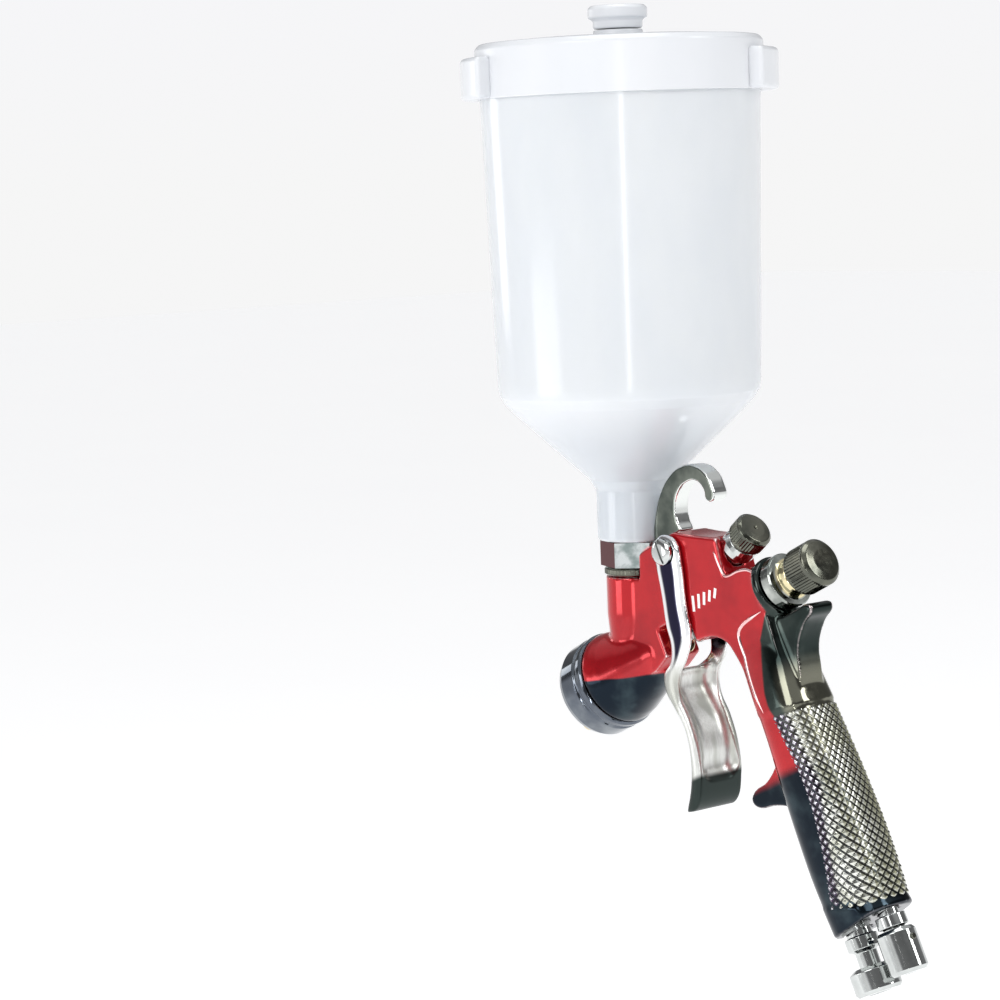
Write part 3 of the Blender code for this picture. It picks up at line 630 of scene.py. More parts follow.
def trigger_material():
    """Polished arms with a painted dark reflection mid-face, turning to brushed silver in the blade,
    darker at the tip.
    """
    mat = Finish("trigger_plate", SILVER, 0.18, 1.0)
    n = mat.along(UPWARD)
    grain = (0.0, math.radians(20.0), 0.0)
    lines = mat.noise(3.2, 3.0, stretch=(1.0, 1.0, 60.0), turn=grain)
    silver = mat.colours(mat.ramp(lines, 0.25, 0.75), (0.60, 0.61, 0.58), (0.76, 0.77, 0.75))
    soft = mat.ramp(mat.noise(0.16, 2.0, stretch=(1.0, 1.0, 5.0), turn=grain), 0.42, 0.62)
    silver = mat.colours(soft, silver, (0.46, 0.47, 0.43))
    blade = mat.ramp(n, -5.0, -10.0)
    # Painted reflection: the arms' flat faces are dark, as if mirroring dark surroundings, between
    # bright rounded edges.
    middle = mat.ramp(mat.value("ABSOLUTE", mat.facing(ACROSS)), 0.986, 0.998)
    arm = mat.colours(middle, (0.90, 0.91, 0.92), (0.022, 0.02, 0.045))
    # Darker towards the tip.
    tip = mat.ramp(n, -42.5, -44.5)
    mat.feed("Base Color", mat.colours(tip, mat.colours(blade, arm, silver), (0.035, 0.045, 0.042)))
    mat.feed("Roughness", mat.value("ADD", mat.ramp(blade, 0.0, 1.0, 0.07, 0.32, "LINEAR"),
                                    mat.ramp(lines, 0.2, 0.8, 0.0, 0.08, "LINEAR")))
    mat.bump(lines, 0.006)
    return mat.material


def hook_material():
    """Polished chrome with a painted dark green reflection on its flat sides."""
    mat = Finish("hook_plate", (0.72, 0.74, 0.72), 0.09, 1.0)
    # Painted reflection: flat sides dark green in clouds, rounded edges bright.
    flat = mat.ramp(mat.value("ABSOLUTE", mat.facing(ACROSS)), 0.90, 0.98)
    clouds = mat.clouds(0.12, 0.35, 0.7, (0.085, 0.10, 0.088), (0.20, 0.22, 0.19))
    return mat.as_plate(mat.colours(flat, (0.72, 0.74, 0.72), clouds), 0.06, 0.16)


def adapter_material():
    """Polished plate with a painted deep red reflection on the side towards the spray head's left."""
    mat = Finish("adapter_plate", (0.66, 0.70, 0.69), 0.08, 1.0)
    stains = mat.clouds(0.25, 0.35, 0.7, (0.72, 0.76, 0.76), (0.30, 0.36, 0.35))
    # Painted red reflection: deep red on the faces turned away from PLAIN_SIDE.
    plain = mat.ramp(mat.facing(PLAIN_SIDE), -0.70, -0.35)
    return mat.as_plate(mat.colours(plain, (0.085, 0.008, 0.012), stains), 0.06, 0.16)


def sleeve_material():
    """Smoked chrome on the wide barrel of the sleeve and yellow brass on its narrow neck."""
    mat = Finish("sleeve_plate", (0.30, 0.32, 0.30), 0.1, 1.0)
    from_axis = mat.value("SQRT", mat.value(
        "ADD", mat.value("POWER", mat.along(ACROSS), 2.0),
        mat.value("POWER", mat.along(UPWARD), 2.0)))
    stains = mat.clouds(0.15, 0.35, 0.7, (0.24, 0.26, 0.24), (0.46, 0.48, 0.45))
    wide = mat.ramp(from_axis, SLEEVE_NECK - 0.3, SLEEVE_NECK + 0.3)
    return mat.as_plate(mat.colours(wide, (0.72, 0.64, 0.40), stains), 0.07, 0.18)


def cup_material(name, colour, tone, roughness, inner, depth):
    """Milky nylon: light spreads inside it, with faint flow marks from the mould."""
    mat = Finish(name, colour, roughness, 0.0, Subsurface_Weight=inner, Subsurface_Scale=depth,
                 IOR=1.5)
    mat.shader.inputs["Subsurface Radius"].default_value = (1.0, 1.0, 1.1)
    clouds = mat.noise(0.035, 3.0, stretch=(1.0, 1.0, 2.4))
    wall = mat.colours(mat.ramp(clouds, 0.35, 0.7), colour, tone)
    # Painted shade: grey where the cup narrows below CONE_TOP and faces down.
    cone_shade = mat.ramp(mat.along(UP), CONE_TOP, CONE_TOP - 22.0)
    mat.feed("Base Color", mat.colours(cone_shade, wall, CONE_SHADE_GREY))
    mat.gloss(roughness * 0.95, roughness * 1.08, 0.1, 2.0)
    mat.bump(mat.noise(0.25, 4.0, stretch=(1.0, 1.0, 5.0)), 0.006)
    return mat.material


def rubber_material():
    mat = Finish("gasket_rubber", (0.035, 0.035, 0.036), 0.6, 0.0)
    grain = mat.noise(2.0, 4.0)
    mat.feed("Base Color", mat.colours(grain, (0.025, 0.025, 0.026), (0.05, 0.05, 0.052)))
    mat.bump(grain, 0.03)
    return mat.material


def paint_material():
    """White marking paint, a little thin in places."""
    mat = Finish("white_marking_paint", (0.9, 0.9, 0.88), 0.4, 0.0)
    wear = mat.noise(2.5, 4.0)
    worn = mat.ramp(wear, 0.55, 0.8)
    mat.feed("Base Color", mat.colours(worn, (0.92, 0.91, 0.90), (0.75, 0.6, 0.6)))
    mat.bump(wear, 0.01)
    return mat.material


CASTING = casting_material()
KNURL = knurl_material()
TRIGGER = trigger_material()
HOOK = hook_material()
ADAPTER = adapter_material()
SLEEVE = sleeve_material()
CHROME = plated("polished_chrome", (0.60, 0.62, 0.61), (0.46, 0.48, 0.47), 0.07)
# Painted dark reflection: the air cap ring's chrome is dark navy-grey, as if mirroring dark
# surroundings.
RING = plated("ring_chrome_painted_dark", (0.10, 0.115, 0.14), (0.20, 0.22, 0.24), 0.07)
DARK = plated("smoked_chrome", (0.095, 0.10, 0.082), (0.17, 0.17, 0.135), 0.18)
STEEL = brushed("ground_steel", (0.62, 0.62, 0.60), (0.50, 0.50, 0.47), 0.24,
                (0.0, math.radians(64.0), 0.0))
BRASS = plated("thin_plated_brass", (0.74, 0.60, 0.36), (0.60, 0.52, 0.36), 0.14)
CUP_PLASTIC = cup_material("milky_cup_nylon", (0.765, 0.80, 0.85), (0.725, 0.765, 0.825),
                           0.15, 0.5, 0.008)
LID_PLASTIC = cup_material("milky_lid_nylon", (0.74, 0.755, 0.78), (0.71, 0.73, 0.76),
                           0.24, 0.0, 0.004)
RUBBER = rubber_material()
PAINT = paint_material()
# Painted highlight: the casting's beads are pale pink-white, standing for bright lines of reflected
# light.
RIM = plated("casting_bead_painted_highlight", (0.86, 0.62, 0.62), (0.80, 0.40, 0.40), 0.1)


# --- casting ---

# handle sections: front and rear t, height n, half width
HANDLE = [
    (50.6, 72.4, -8.0, 6.6), (50.9, 72.6, -14.0, 7.4), (51.2, 72.4, -22.0, 9.0),
    (52.0, 72.6, -33.0, 10.6), (52.2, 73.2, -44.0, 11.3), (51.2, 74.4, -58.0, 11.6),
    (50.2, 75.4, -74.0, 11.6), (49.8, 75.6, -90.0, 11.4), (50.4, 75.0, -101.0, 11.1)]
FOOT = [(50.8, 75.0, -107.2, -103.8, 10.9), (51.4, 74.4, -107.8, -104.4, 10.3)]
FLAT_SIDE = 7.5                        # half the casting's thickness at its flat sides
SQUARENESS = 3.2                       # how square the rounded section of the handle is
KNURL_DEPTH = 0.55
KNURL_PITCH = (3.0, 3.6)               # along the handle, around the handle


def flowing(x, places, values):
    """A smooth curve through values at rising places."""
    slopes = np.gradient(values, places)
    i = int(np.clip(np.searchsorted(places, x) - 1, 0, len(places) - 2))
    span = places[i + 1] - places[i]
    u = (x - places[i]) / span
    return (values[i] * (1 + 2 * u) * (1 - u) ** 2 + slopes[i] * span * u * (1 - u) ** 2
            + values[i + 1] * u ** 2 * (3 - 2 * u) + slopes[i + 1] * span * u ** 2 * (u - 1))


def handle_section(n):
    """Front, rear and half width of the handle at height n."""
    rising = sorted(HANDLE, key=lambda station: station[2])
    places = np.array([station[2] for station in rising])
    return [flowing(n, places, np.array([station[k] for station in rising])) for k in (0, 1, 3)]


def around_handle(front, rear, half, angle):
    """The (t, s) point of a rounded rectangle; angle 0 is at the back and pi at the front."""
    c, s = math.cos(angle), math.sin(angle)
    t = (front + rear) / 2 + (rear - front) / 2 * math.copysign(abs(c) ** (2 / SQUARENESS), c)
    return t, half * math.copysign(abs(s) ** (2 / SQUARENESS), s)


def knurl_top(t):
    """The height at which the knurled panel starts, a little lower towards the back."""
    return -36.6 - 0.12 * (t - 61.0)


def knurl_bottom(t):
    """The height at which the knurled panel ends, lower towards the back."""
    return -98.0 - 0.24 * (t - 56.0)


def handle_solid(steps=128, spacing=0.7):
    heights = np.arange(HANDLE[0][2], HANDLE[-1][2], -spacing)
    rows = [(*handle_section(n), n, n) for n in heights]
    rows += [(*handle_section(HANDLE[-1][2]), HANDLE[-1][2], HANDLE[-1][2])]
    rows += [(front, rear, half, n_front, n_rear) for front, rear, n_front, n_rear, half in FOOT]
    shape = bmesh.new()
    rings = []
    for front, rear, half, n_front, n_rear in rows:
        ring = []
        for step in range(steps):
            angle = 2 * math.pi * step / steps
            t, s = around_handle(front, rear, half, angle)
            n = n_front + (n_rear - n_front) * (t - front) / (rear - front)
            if knurl_bottom(t) < n < knurl_top(t):
                t, s = around_handle(front, rear - KNURL_DEPTH, half - KNURL_DEPTH, angle)
            ring.append(shape.verts.new(at_gun(t, s, n)))
        rings.append(ring)
    skin(shape, rings)
    return loose(mesh_of("solid", shape))


def casting_solids():
    web = outline_solid([
        (4.0, -6.0, True), (6.0, 14.0), (14.0, 26.0), (21.0, 29.4),
        (28.0, 30.8, True), (44.0, 30.8, True), (50.0, 27.4), (61.6, 21.6, True),
        (59.4, 9.4, True), (66.0, 9.2), (70.6, 7.8), (73.2, 4.4),
        (72.9, -2.0), (71.6, -9.0), (70.4, -24.0, True), (54.0, -24.0, True),
        (52.0, -14.0), (50.4, -9.6), (47.0, -6.5), (43.0, -4.9),
        (37.6, -4.4, True), (37.6, 5.6, True), (22.5, 5.6, True),
        (22.5, -3.8, True), (15.0, -6.4, True)], FLAT_SIDE, edge=0.9)
    bell = lathe_solid([
        (6.6, 17.4), (8.0, 16.0), (8.8, 12.4), (10.6, 7.0), (12.2, 2.6), (13.5, -1.4),
        (14.6, -4.8), (15.4, -8.2), (15.6, -9.6), (15.6, -10.85), (13.0, -10.85), (13.0, -17.0)],
        NOZZLE)
    barrel = lathe_solid([(9.2, 74.3), (9.8, 73.5), (9.8, 71.6), (7.3, 70.8), (7.3, 52.0)], NOZZLE)
    column = lathe_solid([(9.7, 32.6), (9.7, 18.0), (8.8, 8.0), (8.3, 0.0)], CUP)
    spur = outline_solid([
        (66.0, -6.0, True), (74.0, -9.9), (81.0, -10.4), (87.2, -10.8),
        (88.0, -12.4), (82.4, -15.8), (76.8, -21.4), (74.0, -29.0),
        (68.0, -42.0, True)], 5.0, edge=2.2)
    finger_hook = outline_solid([
        (56.0, -42.0, True), (51.0, -49.4), (44.0, -53.8), (36.2, -55.4),
        (34.4, -57.8), (36.4, -60.4), (43.0, -61.8), (49.6, -64.6),
        (56.0, -72.0, True)], 4.8, edge=2.4)
    return web, (bell, barrel, column, handle_solid(), spur, finger_hook)


def casting_cuts():
    """Air, paint and needle passages, the pin hole and the seats of the fittings."""
    return (
        rod_solid(10.6, -18.0, -8.0, NOZZLE), rod_solid(4.4, -9.0, 6.0, NOZZLE),
        rod_solid(2.0, 5.0, 13.0, NOZZLE), rod_solid(3.4, 12.0, 24.0, NOZZLE),
        rod_solid(12.0, 30.6, 60.0, CUP), rod_solid(3.0, 0.0, 16.0, CUP),
        rod_solid(7.2, 15.0, 32.0, CUP), rod_solid(3.8, 38.0, 47.8, NOZZLE),
        rod_solid(5.6, 46.8, 75.3, NOZZLE), rod_solid(2.6, -12.0, 12.0, PIVOT),
        rod_solid(2.3, 22.0, 33.0, axes(at_gun(33.4, 0, 0), UPWARD, ALONG)),
        rod_solid(4.3, -11.0, 3.0, PATTERN), rod_solid(6.4, 0.3, 14.0, PATTERN),
        rod_solid(4.6, -30.0, 20.0, INLET), rod_solid(3.6, -30.0, 20.0, VALVE),
    )


def make_casting():
    web, joined = casting_solids()
    mesh = carved(web, joined, casting_cuts())
    mesh = relaxed(remeshed(mesh, 0.42), 5, 30)
    mesh.name = "gun_casting"
    kept_apart(mesh)
    new_piece("gun_casting", mesh, CASTING, "gun_frame", "red_casting", "gun_body")


def side_of_casting(t, n):
    """How far out the casting's side is at (t, n): its flat, or the handle's rounded side."""
    if n > -8.0:
        return FLAT_SIDE
    front, rear, half = handle_section(n)
    share = abs(2 * (t - front) / (rear - front) - 1)
    return max(FLAT_SIDE, half * (1 - share ** SQUARENESS) ** (1 / SQUARENESS))


def make_rims(around=12):
    """Raised beads on both sides, painted as bright highlights: under the flat and down the handle,
    and at its rear edge.
    """
    lines = (
        (((69.8, -6.2), (64.5, -6.5), (60.2, -7.1), (57.4, -8.6), (56.5, -11.4), (56.4, -15.6),
          (56.6, -22.0), (57.4, -29.0), (58.8, -35.4)), 0.62, 0.10),
        (((58.7, 20.6), (58.8, 17.0), (58.9, 13.2), (59.5, 9.8), (61.8, 8.9), (66.0, 8.7), (70.3, 7.3),
          (72.7, 4.2), (72.5, -2.0), (71.4, -7.6)), 0.50, 0.34))
    shape = bmesh.new()
    for knots, radius, sunk in lines:
        places = np.arange(len(knots), dtype=float)
        stops = [[flowing(u, places, np.array([knot[k] for knot in knots])) for k in (0, 1)]
                 for u in np.linspace(0.001, places[-1], 90)]
        for side in (-1, 1):
            path = [at_gun(t, side * (side_of_casting(t, n) - sunk), n) for t, n in stops]
            rings = []
            for i, point in enumerate(path):
                heading = (path[min(i + 1, len(path) - 1)] - path[max(i - 1, 0)]).normalized()
                sideways = heading.cross(ACROSS).normalized()
                outward = sideways.cross(heading)
                taper = min(1.0, 0.15 + i / 12, 0.15 + (len(path) - 1 - i) / 12)
                rings.append([shape.verts.new(point + (sideways * math.cos(a) + outward * math.sin(a))
                                              * radius * taper * MM)
                              for a in (2 * math.pi * k / around for k in range(around))])
            skin(shape, rings)
    mesh = mesh_of("casting_rims", shape)
    smooth(mesh, 50.0)
    new_piece("casting_rims", mesh, RIM, "gun_frame", "red_casting")


def knurl_front(n):
    """Where the knurled panel starts on the handle's side, behind its smooth front."""
    return flowing(n, np.array([-101.0, -87.0, -63.0, -38.0]), np.array([56.0, 61.0, 65.0, 61.5]))


def side_lengths(n, samples=240):
    """Angles around the handle at height n and the distance walked to each from the back."""
    angles = np.linspace(0.0, math.pi, samples)
    ring = np.array([around_handle(*handle_section(n), angle) for angle in angles])
    walked = np.concatenate([[0.0], np.cumsum(np.hypot(*np.diff(ring, axis=0).T))])
    reach = np.interp(-knurl_front(n), -ring[:, 0], walked)
    return angles, walked, reach


def make_knurled_panel():
    """The knurled back and sides of the handle: rows of small pyramids between cut grooves."""
    along, around = KNURL_PITCH
    per_pitch = 8
    rows = round(64.0 / along) * per_pitch
    columns = 13 * per_pitch
    middle_angles, middle_walked, middle_reach = side_lengths(-70.0)
    levels = {}
    shape = bmesh.new()
    grid = []
    for row in range(rows + 1):
        line = []
        for column in range(columns + 1):
            share = 2 * column / columns - 1
            angle = np.interp(abs(share) * middle_reach, middle_walked, middle_angles)
            t, _ = around_handle(*handle_section(-70.0), angle)
            n = knurl_top(t) + (knurl_bottom(t) - knurl_top(t)) * row / rows
            level = round(n * 2) / 2
            if level not in levels:
                levels[level] = side_lengths(level)
            angles, walked, reach = levels[level]
            angle = math.copysign(np.interp(abs(share) * reach, walked, angles), share)
            p1 = (row + column) / per_pitch
            p2 = (row - column) / per_pitch
            height = min(abs(2 * (p1 % 1.0) - 1), abs(2 * (p2 % 1.0) - 1))
            height = min(height / 0.8, 1.0)
            border = min(1.0, row / 3, (rows - row) / 3, column / 3, (columns - column) / 3)
            lift = -0.30 + (KNURL_DEPTH * height + 0.22) * border
            front, rear, half = handle_section(n)
            t, s = around_handle(front, rear - KNURL_DEPTH + lift, half - KNURL_DEPTH + lift, angle)
            line.append(shape.verts.new(at_gun(t, s, n)))
        grid.append(line)
    skin(shape, grid, full_turn=False)
    mesh = mesh_of("handle_knurling", shape)
    smooth(mesh, 22.0)
    kept_apart(mesh)
    panel = new_piece("handle_knurling", mesh, KNURL, "gun_frame", "red_casting")
    backing = panel.modifiers.new("closed back", "SOLIDIFY")
    backing.thickness = 0.5 * MM
    backing.offset = -1.0


def make_marking():
    """A generic row of slanted dashes painted on each side of the casting."""
    shape = bmesh.new()
    for side in (-1, 1):
        for index in range(5):
            size = (1.1, 0.06, 5.0 - 0.45 * index)
            place = axes(at_gun(42.4 + 2.7 * index, side * (FLAT_SIDE + 0.03), 6.9 - 0.15 * index),
                         UPWARD, ALONG)
            tilt = Matrix.Rotation(math.radians(20.0 + 4.0 * index), 4, "Y")
            spread = Matrix.Diagonal((*(x * MM for x in size), 1.0))
            dash = bmesh.ops.create_cube(shape, size=1.0)["verts"]
            bmesh.ops.transform(shape, matrix=place @ tilt @ spread, verts=dash)
    mesh = mesh_of("dash_marking", shape)
    bevelled(new_piece("dash_marking", mesh, PAINT, "gun_frame", None), 0.02, 2, 30.0)


def make_hook():
    mesh = outline_solid([
        (29.6, 31.2, True), (30.6, 34.4), (35.0, 40.6), (40.4, 45.6),
        (46.6, 48.7), (53.0, 49.4), (58.6, 47.6), (62.4, 43.4),
        (63.4, 38.6), (62.6, 34.8), (60.6, 34.0), (59.0, 35.4),
        (59.4, 38.8), (57.6, 42.4), (53.0, 43.9),
        (48.0, 42.6), (44.6, 39.0), (43.2, 35.0), (43.4, 31.2, True)],
        3.1, edge=1.5, resolution=12)
    stud = rod_solid(1.95, 24.6, 32.4, axes(at_gun(33.4, 0, 0), UPWARD, ALONG))
    mesh = relaxed(remeshed(carved(mesh, (stud,)), 0.26), 6, 0)
    new_piece("hanging_hook_fine", mesh, HOOK, "gun_frame", "chrome", "hanging_hook")


# --- trigger ---

def make_trigger():
    front = [
        (34.6, 26.6), (31.2, 14.0), (28.4, 4.0), (27.6, -1.6),
        (24.8, -6.2), (20.2, -8.8), (18.3, -13.6), (19.4, -20.0),
        (20.6, -27.0), (19.6, -34.4), (15.4, -44.0), (8.8, -52.2, True)]
    rear = [
        (13.0, -52.6), (19.6, -45.6), (23.0, -37.0), (24.2, -27.0),
        (23.8, -18.0), (26.2, -12.4), (32.2, -8.2), (37.6, -2.4),
        (40.6, 8.0), (44.8, 20.0), (45.8, 27.0), (41.6, 31.2),
        (36.8, 30.6)]
    arm_outside, arm_inside = 10.2, 8.1
    blade = outline_solid(front + rear, arm_outside, resolution=36)
    blade_edge = points_of(blade.data)
    inside = outline_solid([
        (60.0, 60.0, True), (-10.0, 60.0, True), (-10.0, -5.0, True), (16.0, -7.2, True),
        (21.4, -8.4), (24.0, -9.2), (22.4, -11.2), (20.9, -14.4),
        (21.4, -20.0), (22.5, -27.0), (21.4, -34.8), (18.2, -42.0),
        (19.4, -46.0, True), (60.0, -46.0, True)], arm_inside, resolution=36)
    trough_edge = points_of(inside.data)
    stud_place = axes(at_gun(29.8, 0, 2.2), ACROSS, ALONG)
    studs = [rod_solid(1.6, low, high, stud_place) for low, high in ((-8.7, -2.6), (2.6, 8.7))]
    mesh = remeshed(carved(blade, (), (inside,)), 0.32)
    eased(mesh, blade_edge, (arm_inside + 0.4, arm_outside + 0.1), arm_outside, 4.3, 1.45)
    eased(mesh, trough_edge, (0.0, arm_inside + 0.4), arm_inside, 4.6, 4.6)
    mesh = carved(loose(remeshed(mesh, 0.32)), studs, (rod_solid(2.6, -14.0, 14.0, PIVOT),))
    mesh = relaxed(remeshed(mesh, 0.32), 5, 12)
    new_piece("trigger_fine", mesh, TRIGGER, "trigger_body", "steel", "trigger")


def make_pivot():
    """Pivot pin and screw: domed heads with a slot across each."""
    head = 10.55
    pin = [(2.2, head - 0.1), (2.2, -head), (4.3, -head), (4.25, -head - 0.7), (3.7, -head - 1.3),
           (2.4, -head - 1.6)]
    screw = [(2.4, head + 1.8), (3.7, head + 1.5), (4.25, head + 0.9), (4.3, head + 0.25)]
    for node, outline, (t0, t1, n0, n1), offset in (
            ("trigger_pivot_pin", pin, (39.55, 40.45, 20.0, 32.0), -head - 1.7),
            ("trigger_pivot_screw", screw, (34.0, 46.0, 25.55, 26.45), head + 1.9)):
        solid = lathe_solid(outline, PIVOT)
        slot = outline_solid([(t0, n0, True), (t1, n0, True), (t1, n1, True), (t0, n1, True)], 0.7,
                             offset=offset)
        mesh = carved(solid, (), (slot,))
        smooth(mesh)
        even_shading(new_piece(node + "_fine", mesh, CHROME, "gun_frame", "chrome", node))


# --- spray head, controls and fittings ---

def straight_knurl(count, depth, low, high, least):
    """Fine flutes along the side of a turned piece, between heights low and high (mm)."""
    def relief(radius, height, angle):
        inside = ((height > low * MM) & (height < high * MM) & (radius > least * MM)).astype(float)
        return inside * depth * MM * (0.5 - 0.5 * np.cos(count * angle))
    return relief


def make_spray_head():
    turned("air_cap_ring", NOZZLE, RING, "ring_body", "chrome", edge=0.6)
    outline, closed = profile_of("air_cap", NOZZLE_SIDE)
    cap = loose(spun("solid", rounded(outline, closed, 0.4), closed, NOZZLE_SIDE))
    horns = []
    for side in (-1, 1):
        place = axes(at_gun(0, 0, side * 8.4), ALONG, UPWARD)
        horns.append(lathe_solid([(3.2, -25.6), (3.2, -28.0), (3.0, -30.0), (2.5, -33.2),
                                  (1.9, -34.0)], place, 48))
    jets = []
    for side in (-1, 1):
        inward = (ALONG * -0.55 - UPWARD * side * 0.83).normalized()
        place = axes(at_gun(-31.6, 0, side * 7.4), inward, ACROSS)
        jets.append(rod_solid(0.55, -0.4, 4.0, place, 20))
    mesh = carved(cap, horns, jets)
    smooth(mesh)
    even_shading(new_piece("air_cap_fine", mesh, BRASS, "cap_body", "brass", "air_cap"))
    for node, material, body, slot, edge, steps in (
            ("fluid_tip", STEEL, "gun_frame", "steel", 0.2, 64),
            ("air_distributor", STEEL, "gun_frame", "steel", 0.2, 64),
            ("fluid_needle", STEEL, "needle_body", "steel", 0.1, 48),
            ("needle_packing_nut", BRASS, "gun_frame", "brass", 0.2, 64)):
        turned(node, NOZZLE, material, body, slot, edge, steps)


def make_controls():
    turned("air_valve_spindle", NOZZLE, STEEL, "spindle_body", "steel", edge=0.2, steps=64)
    turned("fluid_control_sleeve", NOZZLE, SLEEVE, "gun_frame", "chrome", edge=0.35)
    turned("fluid_control_knob", NOZZLE, DARK, "fluid_knob_body", "dark_chrome", edge=0.8,
           steps=288, relief=straight_knurl(48, 0.30, 85.6, 92.8, 7.4), spacing=0.4)
    turned("pattern_valve_body", PATTERN, CHROME, "gun_frame", "chrome", edge=0.3)
    turned("pattern_valve_stem", PATTERN, STEEL, "pattern_knob_body", "steel", edge=0.1, steps=48)
    turned("pattern_knob", PATTERN, DARK, "pattern_knob_body", "dark_chrome", edge=0.7,
           steps=240, relief=straight_knurl(40, 0.28, 6.4, 10.4, 6.0), spacing=0.4)


def make_fittings():
    turned("air_inlet_stem", INLET, CHROME, "gun_frame", "chrome", edge=0.35)
    turned("air_inlet_nut", INLET, CHROME, "inlet_nut_body", "chrome", edge=0.5)
    turned("flow_valve_body", VALVE, CHROME, "gun_frame", "chrome", edge=0.3)
    turned("flow_valve_stem", VALVE, STEEL, "flow_knob_body", "steel", edge=0.1, steps=48)
    turned("air_flow_knob", VALVE, CHROME, "flow_knob_body", "chrome", edge=0.5)
    turned("adapter_lock_ring", CUP, DARK, "gun_frame", "dark_chrome", edge=0.3,
           steps=288, relief=straight_knurl(48, 0.2, 31.6, 33.0, 9.9), spacing=0.25)


# --- cup ---

def make_cup():
    turned("paint_cup", CUP, CUP_PLASTIC, "cup_body", "cup_plastic", edge=1.6, steps=160)
    turned("cup_strainer", CUP, CUP_PLASTIC, "gun_frame", "cup_plastic", edge=0.3, steps=64)
    turned("lid_gasket", CUP, RUBBER, "lid_body", "gasket", edge=0.3)
    turned("vent_cap", CUP, LID_PLASTIC, "vent_body", "lid_plastic", edge=0.9)


def lug_solid(azimuth):
    """A grip lug on the lid's skirt with generously rounded edges."""
    inner, outer, half_angle, steps = 45.7, 51.12, math.radians(29.0), 32
    low, high = 186.2, 199.4
    angles = [azimuth + half_angle * (2 * i / steps - 1) for i in range(steps + 1)]
    shape = bmesh.new()
    corners = [(r * math.cos(a), r * math.sin(a)) for r, row in
               ((outer, angles), (inner, reversed(angles))) for a in row]
    base = shape.faces.new([shape.verts.new(CUP @ (Vector((x, y, low)) * MM)) for x, y in corners])
    raised = bmesh.ops.extrude_face_region(shape, geom=[base])["geom"]
    verts = [item for item in raised if isinstance(item, bmesh.types.BMVert)]
    bmesh.ops.translate(shape, vec=(0, 0, (high - low) * MM), verts=verts)
    solid = loose(mesh_of("solid", shape))
    bevelled(solid, 2.0, 5)
    return solid


def make_lid():
    outline, closed = profile_of("cup_lid", LID)
    lid = loose(spun("solid", rounded(outline, closed, 1.4), closed, CUP, 160))
    lug_angle = math.radians(48.0)
    mesh = carved(lid, [lug_solid(lug_angle), lug_solid(lug_angle + math.pi)])
    smooth(mesh, 40.0)
    even_shading(new_piece("cup_lid_fine", mesh, LID_PLASTIC, "lid_body", "lid_plastic", "cup_lid"))


# --- carried-over nodes ---

def make_springs():
    """Both springs keep their CAD coils, shaded smooth and carried on the gun frame."""
    for node, joint, front, rear in (("air_valve_spring", "spindle_slide", 50.0, 65.4),
                                     ("needle_spring", "needle_slide", 54.9, 76.6)):
        mesh = frame["nodes"][node].data.copy()
        mesh.transform(frame["nodes"][node].matrix_world)
        smooth(mesh, 50.0)
        spring = new_piece(node + "_fine", mesh, STEEL, "gun_frame", "steel", node)
        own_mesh(spring)


def finish_cad_nodes():
    """These pieces keep their CAD shape and take a fine material."""
    for name, material, slot in (("valve_set_screw", DARK, "dark_chrome"),
                                 ("cup_adapter", ADAPTER, "chrome")):
        node = frame["nodes"][name]
        node.data.materials.clear()
        node.data.materials.append(material)
    adapter = frame["nodes"]["cup_adapter"]
    bevelled(adapter, 0.35, 3, 40.0)
    even_shading(adapter)


# --- studio ---

FLOOR_DROP = 0.22
FLOOR_GLOW = 0.49                      # evens the floor out with the bright horizon
CAMERA_PLACE = (0.68503, -0.64237, 0.09837)
CAMERA_HEADING, CAMERA_PITCH, CAMERA_ROLL = math.radians(50.60), math.radians(-6.21), -0.038126
LENS, SENSOR = 106.34, 36.0


def make_camera():
    data = bpy.data.cameras.new("camera")
    data.lens = LENS
    data.sensor_width = SENSOR
    camera = placed("camera", data)
    level = Vector((-math.sin(CAMERA_HEADING), math.cos(CAMERA_HEADING), 0.0))
    forward = level * math.cos(CAMERA_PITCH) + UP * math.sin(CAMERA_PITCH)
    right = level.cross(UP)
    upright = right.cross(forward)
    rolled_right = right * math.cos(CAMERA_ROLL) + upright * math.sin(CAMERA_ROLL)
    rolled_up = upright * math.cos(CAMERA_ROLL) - right * math.sin(CAMERA_ROLL)
    matrix = Matrix((rolled_right, rolled_up, -forward)).transposed().to_4x4()
    matrix.translation = CAMERA_PLACE
    camera.matrix_world = matrix
    bpy.context.scene.camera = camera


def soft_light(name, place, target, size, power, colour=(1.0, 1.0, 1.0)):
    data = bpy.data.lights.new(name, "AREA")
    data.shape = "RECTANGLE"
    data.size, data.size_y = size
    data.energy = power
    data.color = colour
    light = placed(name, data)
    light.location = place
    light.rotation_mode = "QUATERNION"
    light.rotation_quaternion = (Vector(target) - Vector(place)).to_track_quat("-Z", "Y")


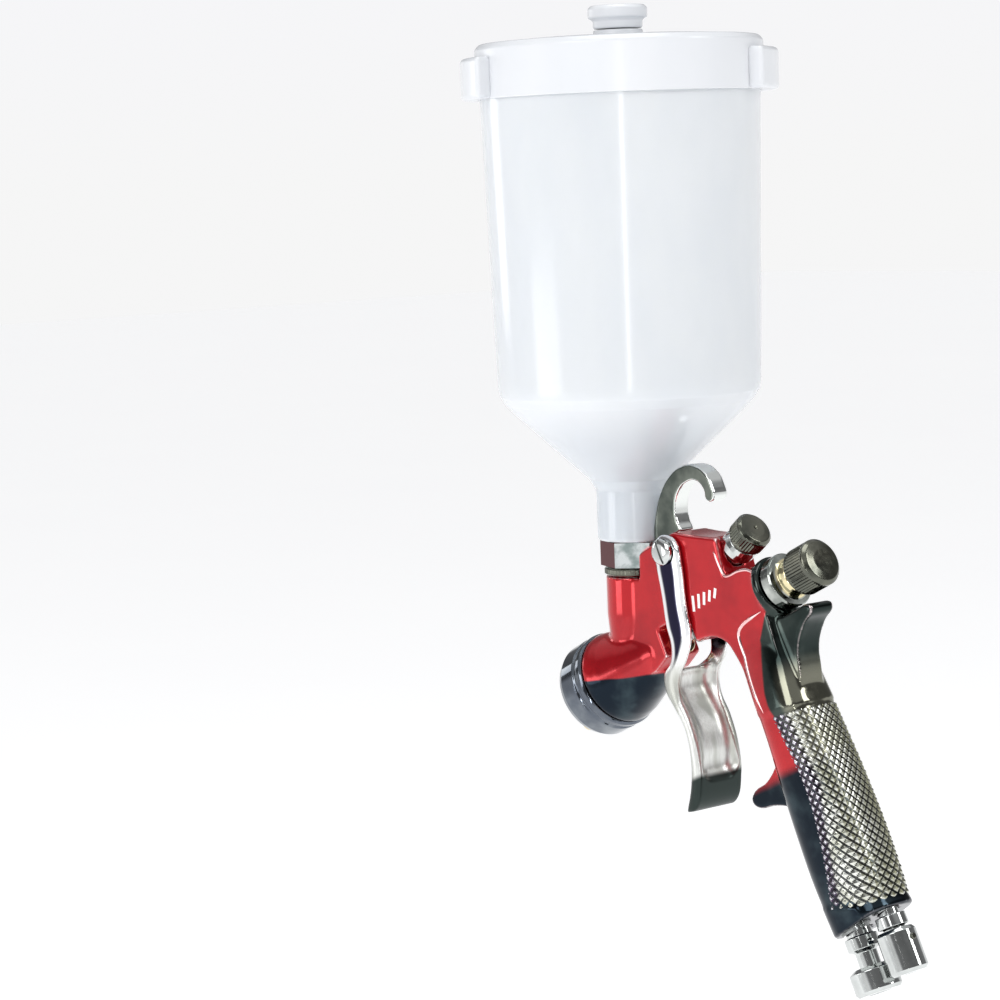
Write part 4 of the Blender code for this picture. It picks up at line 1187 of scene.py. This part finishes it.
def make_floor():
    low = cad_low.z - FLOOR_DROP
    shape = bmesh.new()
    bmesh.ops.create_grid(shape, x_segments=8, y_segments=8, size=9.0)
    bmesh.ops.translate(shape, vec=(0, 0, low), verts=shape.verts)
    mat = Finish("pale_floor", (0.9, 0.9, 0.9), 0.7, Emission_Strength=FLOOR_GLOW)
    mat.shader.inputs["Emission Color"].default_value = (1.0, 1.0, 1.0, 1.0)
    patches = mat.noise(0.004, 2.0)
    mat.feed("Base Color", mat.colours(patches, (0.90, 0.90, 0.90), (0.87, 0.87, 0.88)))
    mesh = bpy.data.meshes.new("floor")
    shape.to_mesh(mesh)
    mesh.materials.append(mat.material)
    placed("floor", mesh)


def make_world():
    """A pale studio all round, with soft darker bands that polished metal can mirror."""
    world = bpy.data.worlds.new("studio")
    bpy.context.scene.world = world
    world.use_nodes = True
    tree = world.node_tree
    background = tree.nodes["Background"]
    direction = tree.nodes.new("ShaderNodeTexCoord").outputs["Generated"]
    split = tree.nodes.new("ShaderNodeSeparateXYZ")
    tree.links.new(direction, split.inputs[0])
    rise = tree.nodes.new("ShaderNodeValToRGB")
    tree.links.new(split.outputs["Z"], rise.inputs["Fac"])
    rise.color_ramp.elements[0].color = (0.92, 0.92, 0.92, 1)
    rise.color_ramp.elements[1].color = (0.60, 0.61, 0.62, 1)
    for position, grey in ((0.07, 0.92), (0.15, 0.22), (0.48, 0.16), (0.60, 0.6)):
        stop = rise.color_ramp.elements.new(position)
        stop.color = (grey, grey, grey * 1.02, 1)
    tree.links.new(rise.outputs["Color"], background.inputs["Color"])
    background.inputs["Strength"].default_value = 1.0


def make_lights():
    middle = (cad_low + cad_high) / 2
    soft_light("key", (0.3, -1.15, 0.6), middle, (0.8, 0.7), 6.5)
    soft_light("rim", (1.3, 0.7, 0.9), middle, (0.4, 0.8), 7)
    soft_light("front", (-1.17, -0.27, 0.12), middle, (0.25, 0.30), 0.6)
    soft_light("low", (-0.5, -1.0, -0.12), middle, (0.50, 0.22), 1.0)
    soft_light("top", (0.0, 0.0, 1.3), middle, (0.7, 0.7), 5)
    soft_light("strip", (1.32, -1.20, 0.05), middle, (0.035, 0.6), 1.6)


make_casting()
make_knurled_panel()
make_rims()
make_marking()
make_hook()
make_trigger()
make_pivot()
make_spray_head()
make_controls()
make_fittings()
make_cup()
make_lid()
make_springs()
finish_cad_nodes()
make_floor()
make_world()
make_lights()
make_camera()
bpy.context.scene.view_settings.view_transform = "Standard"
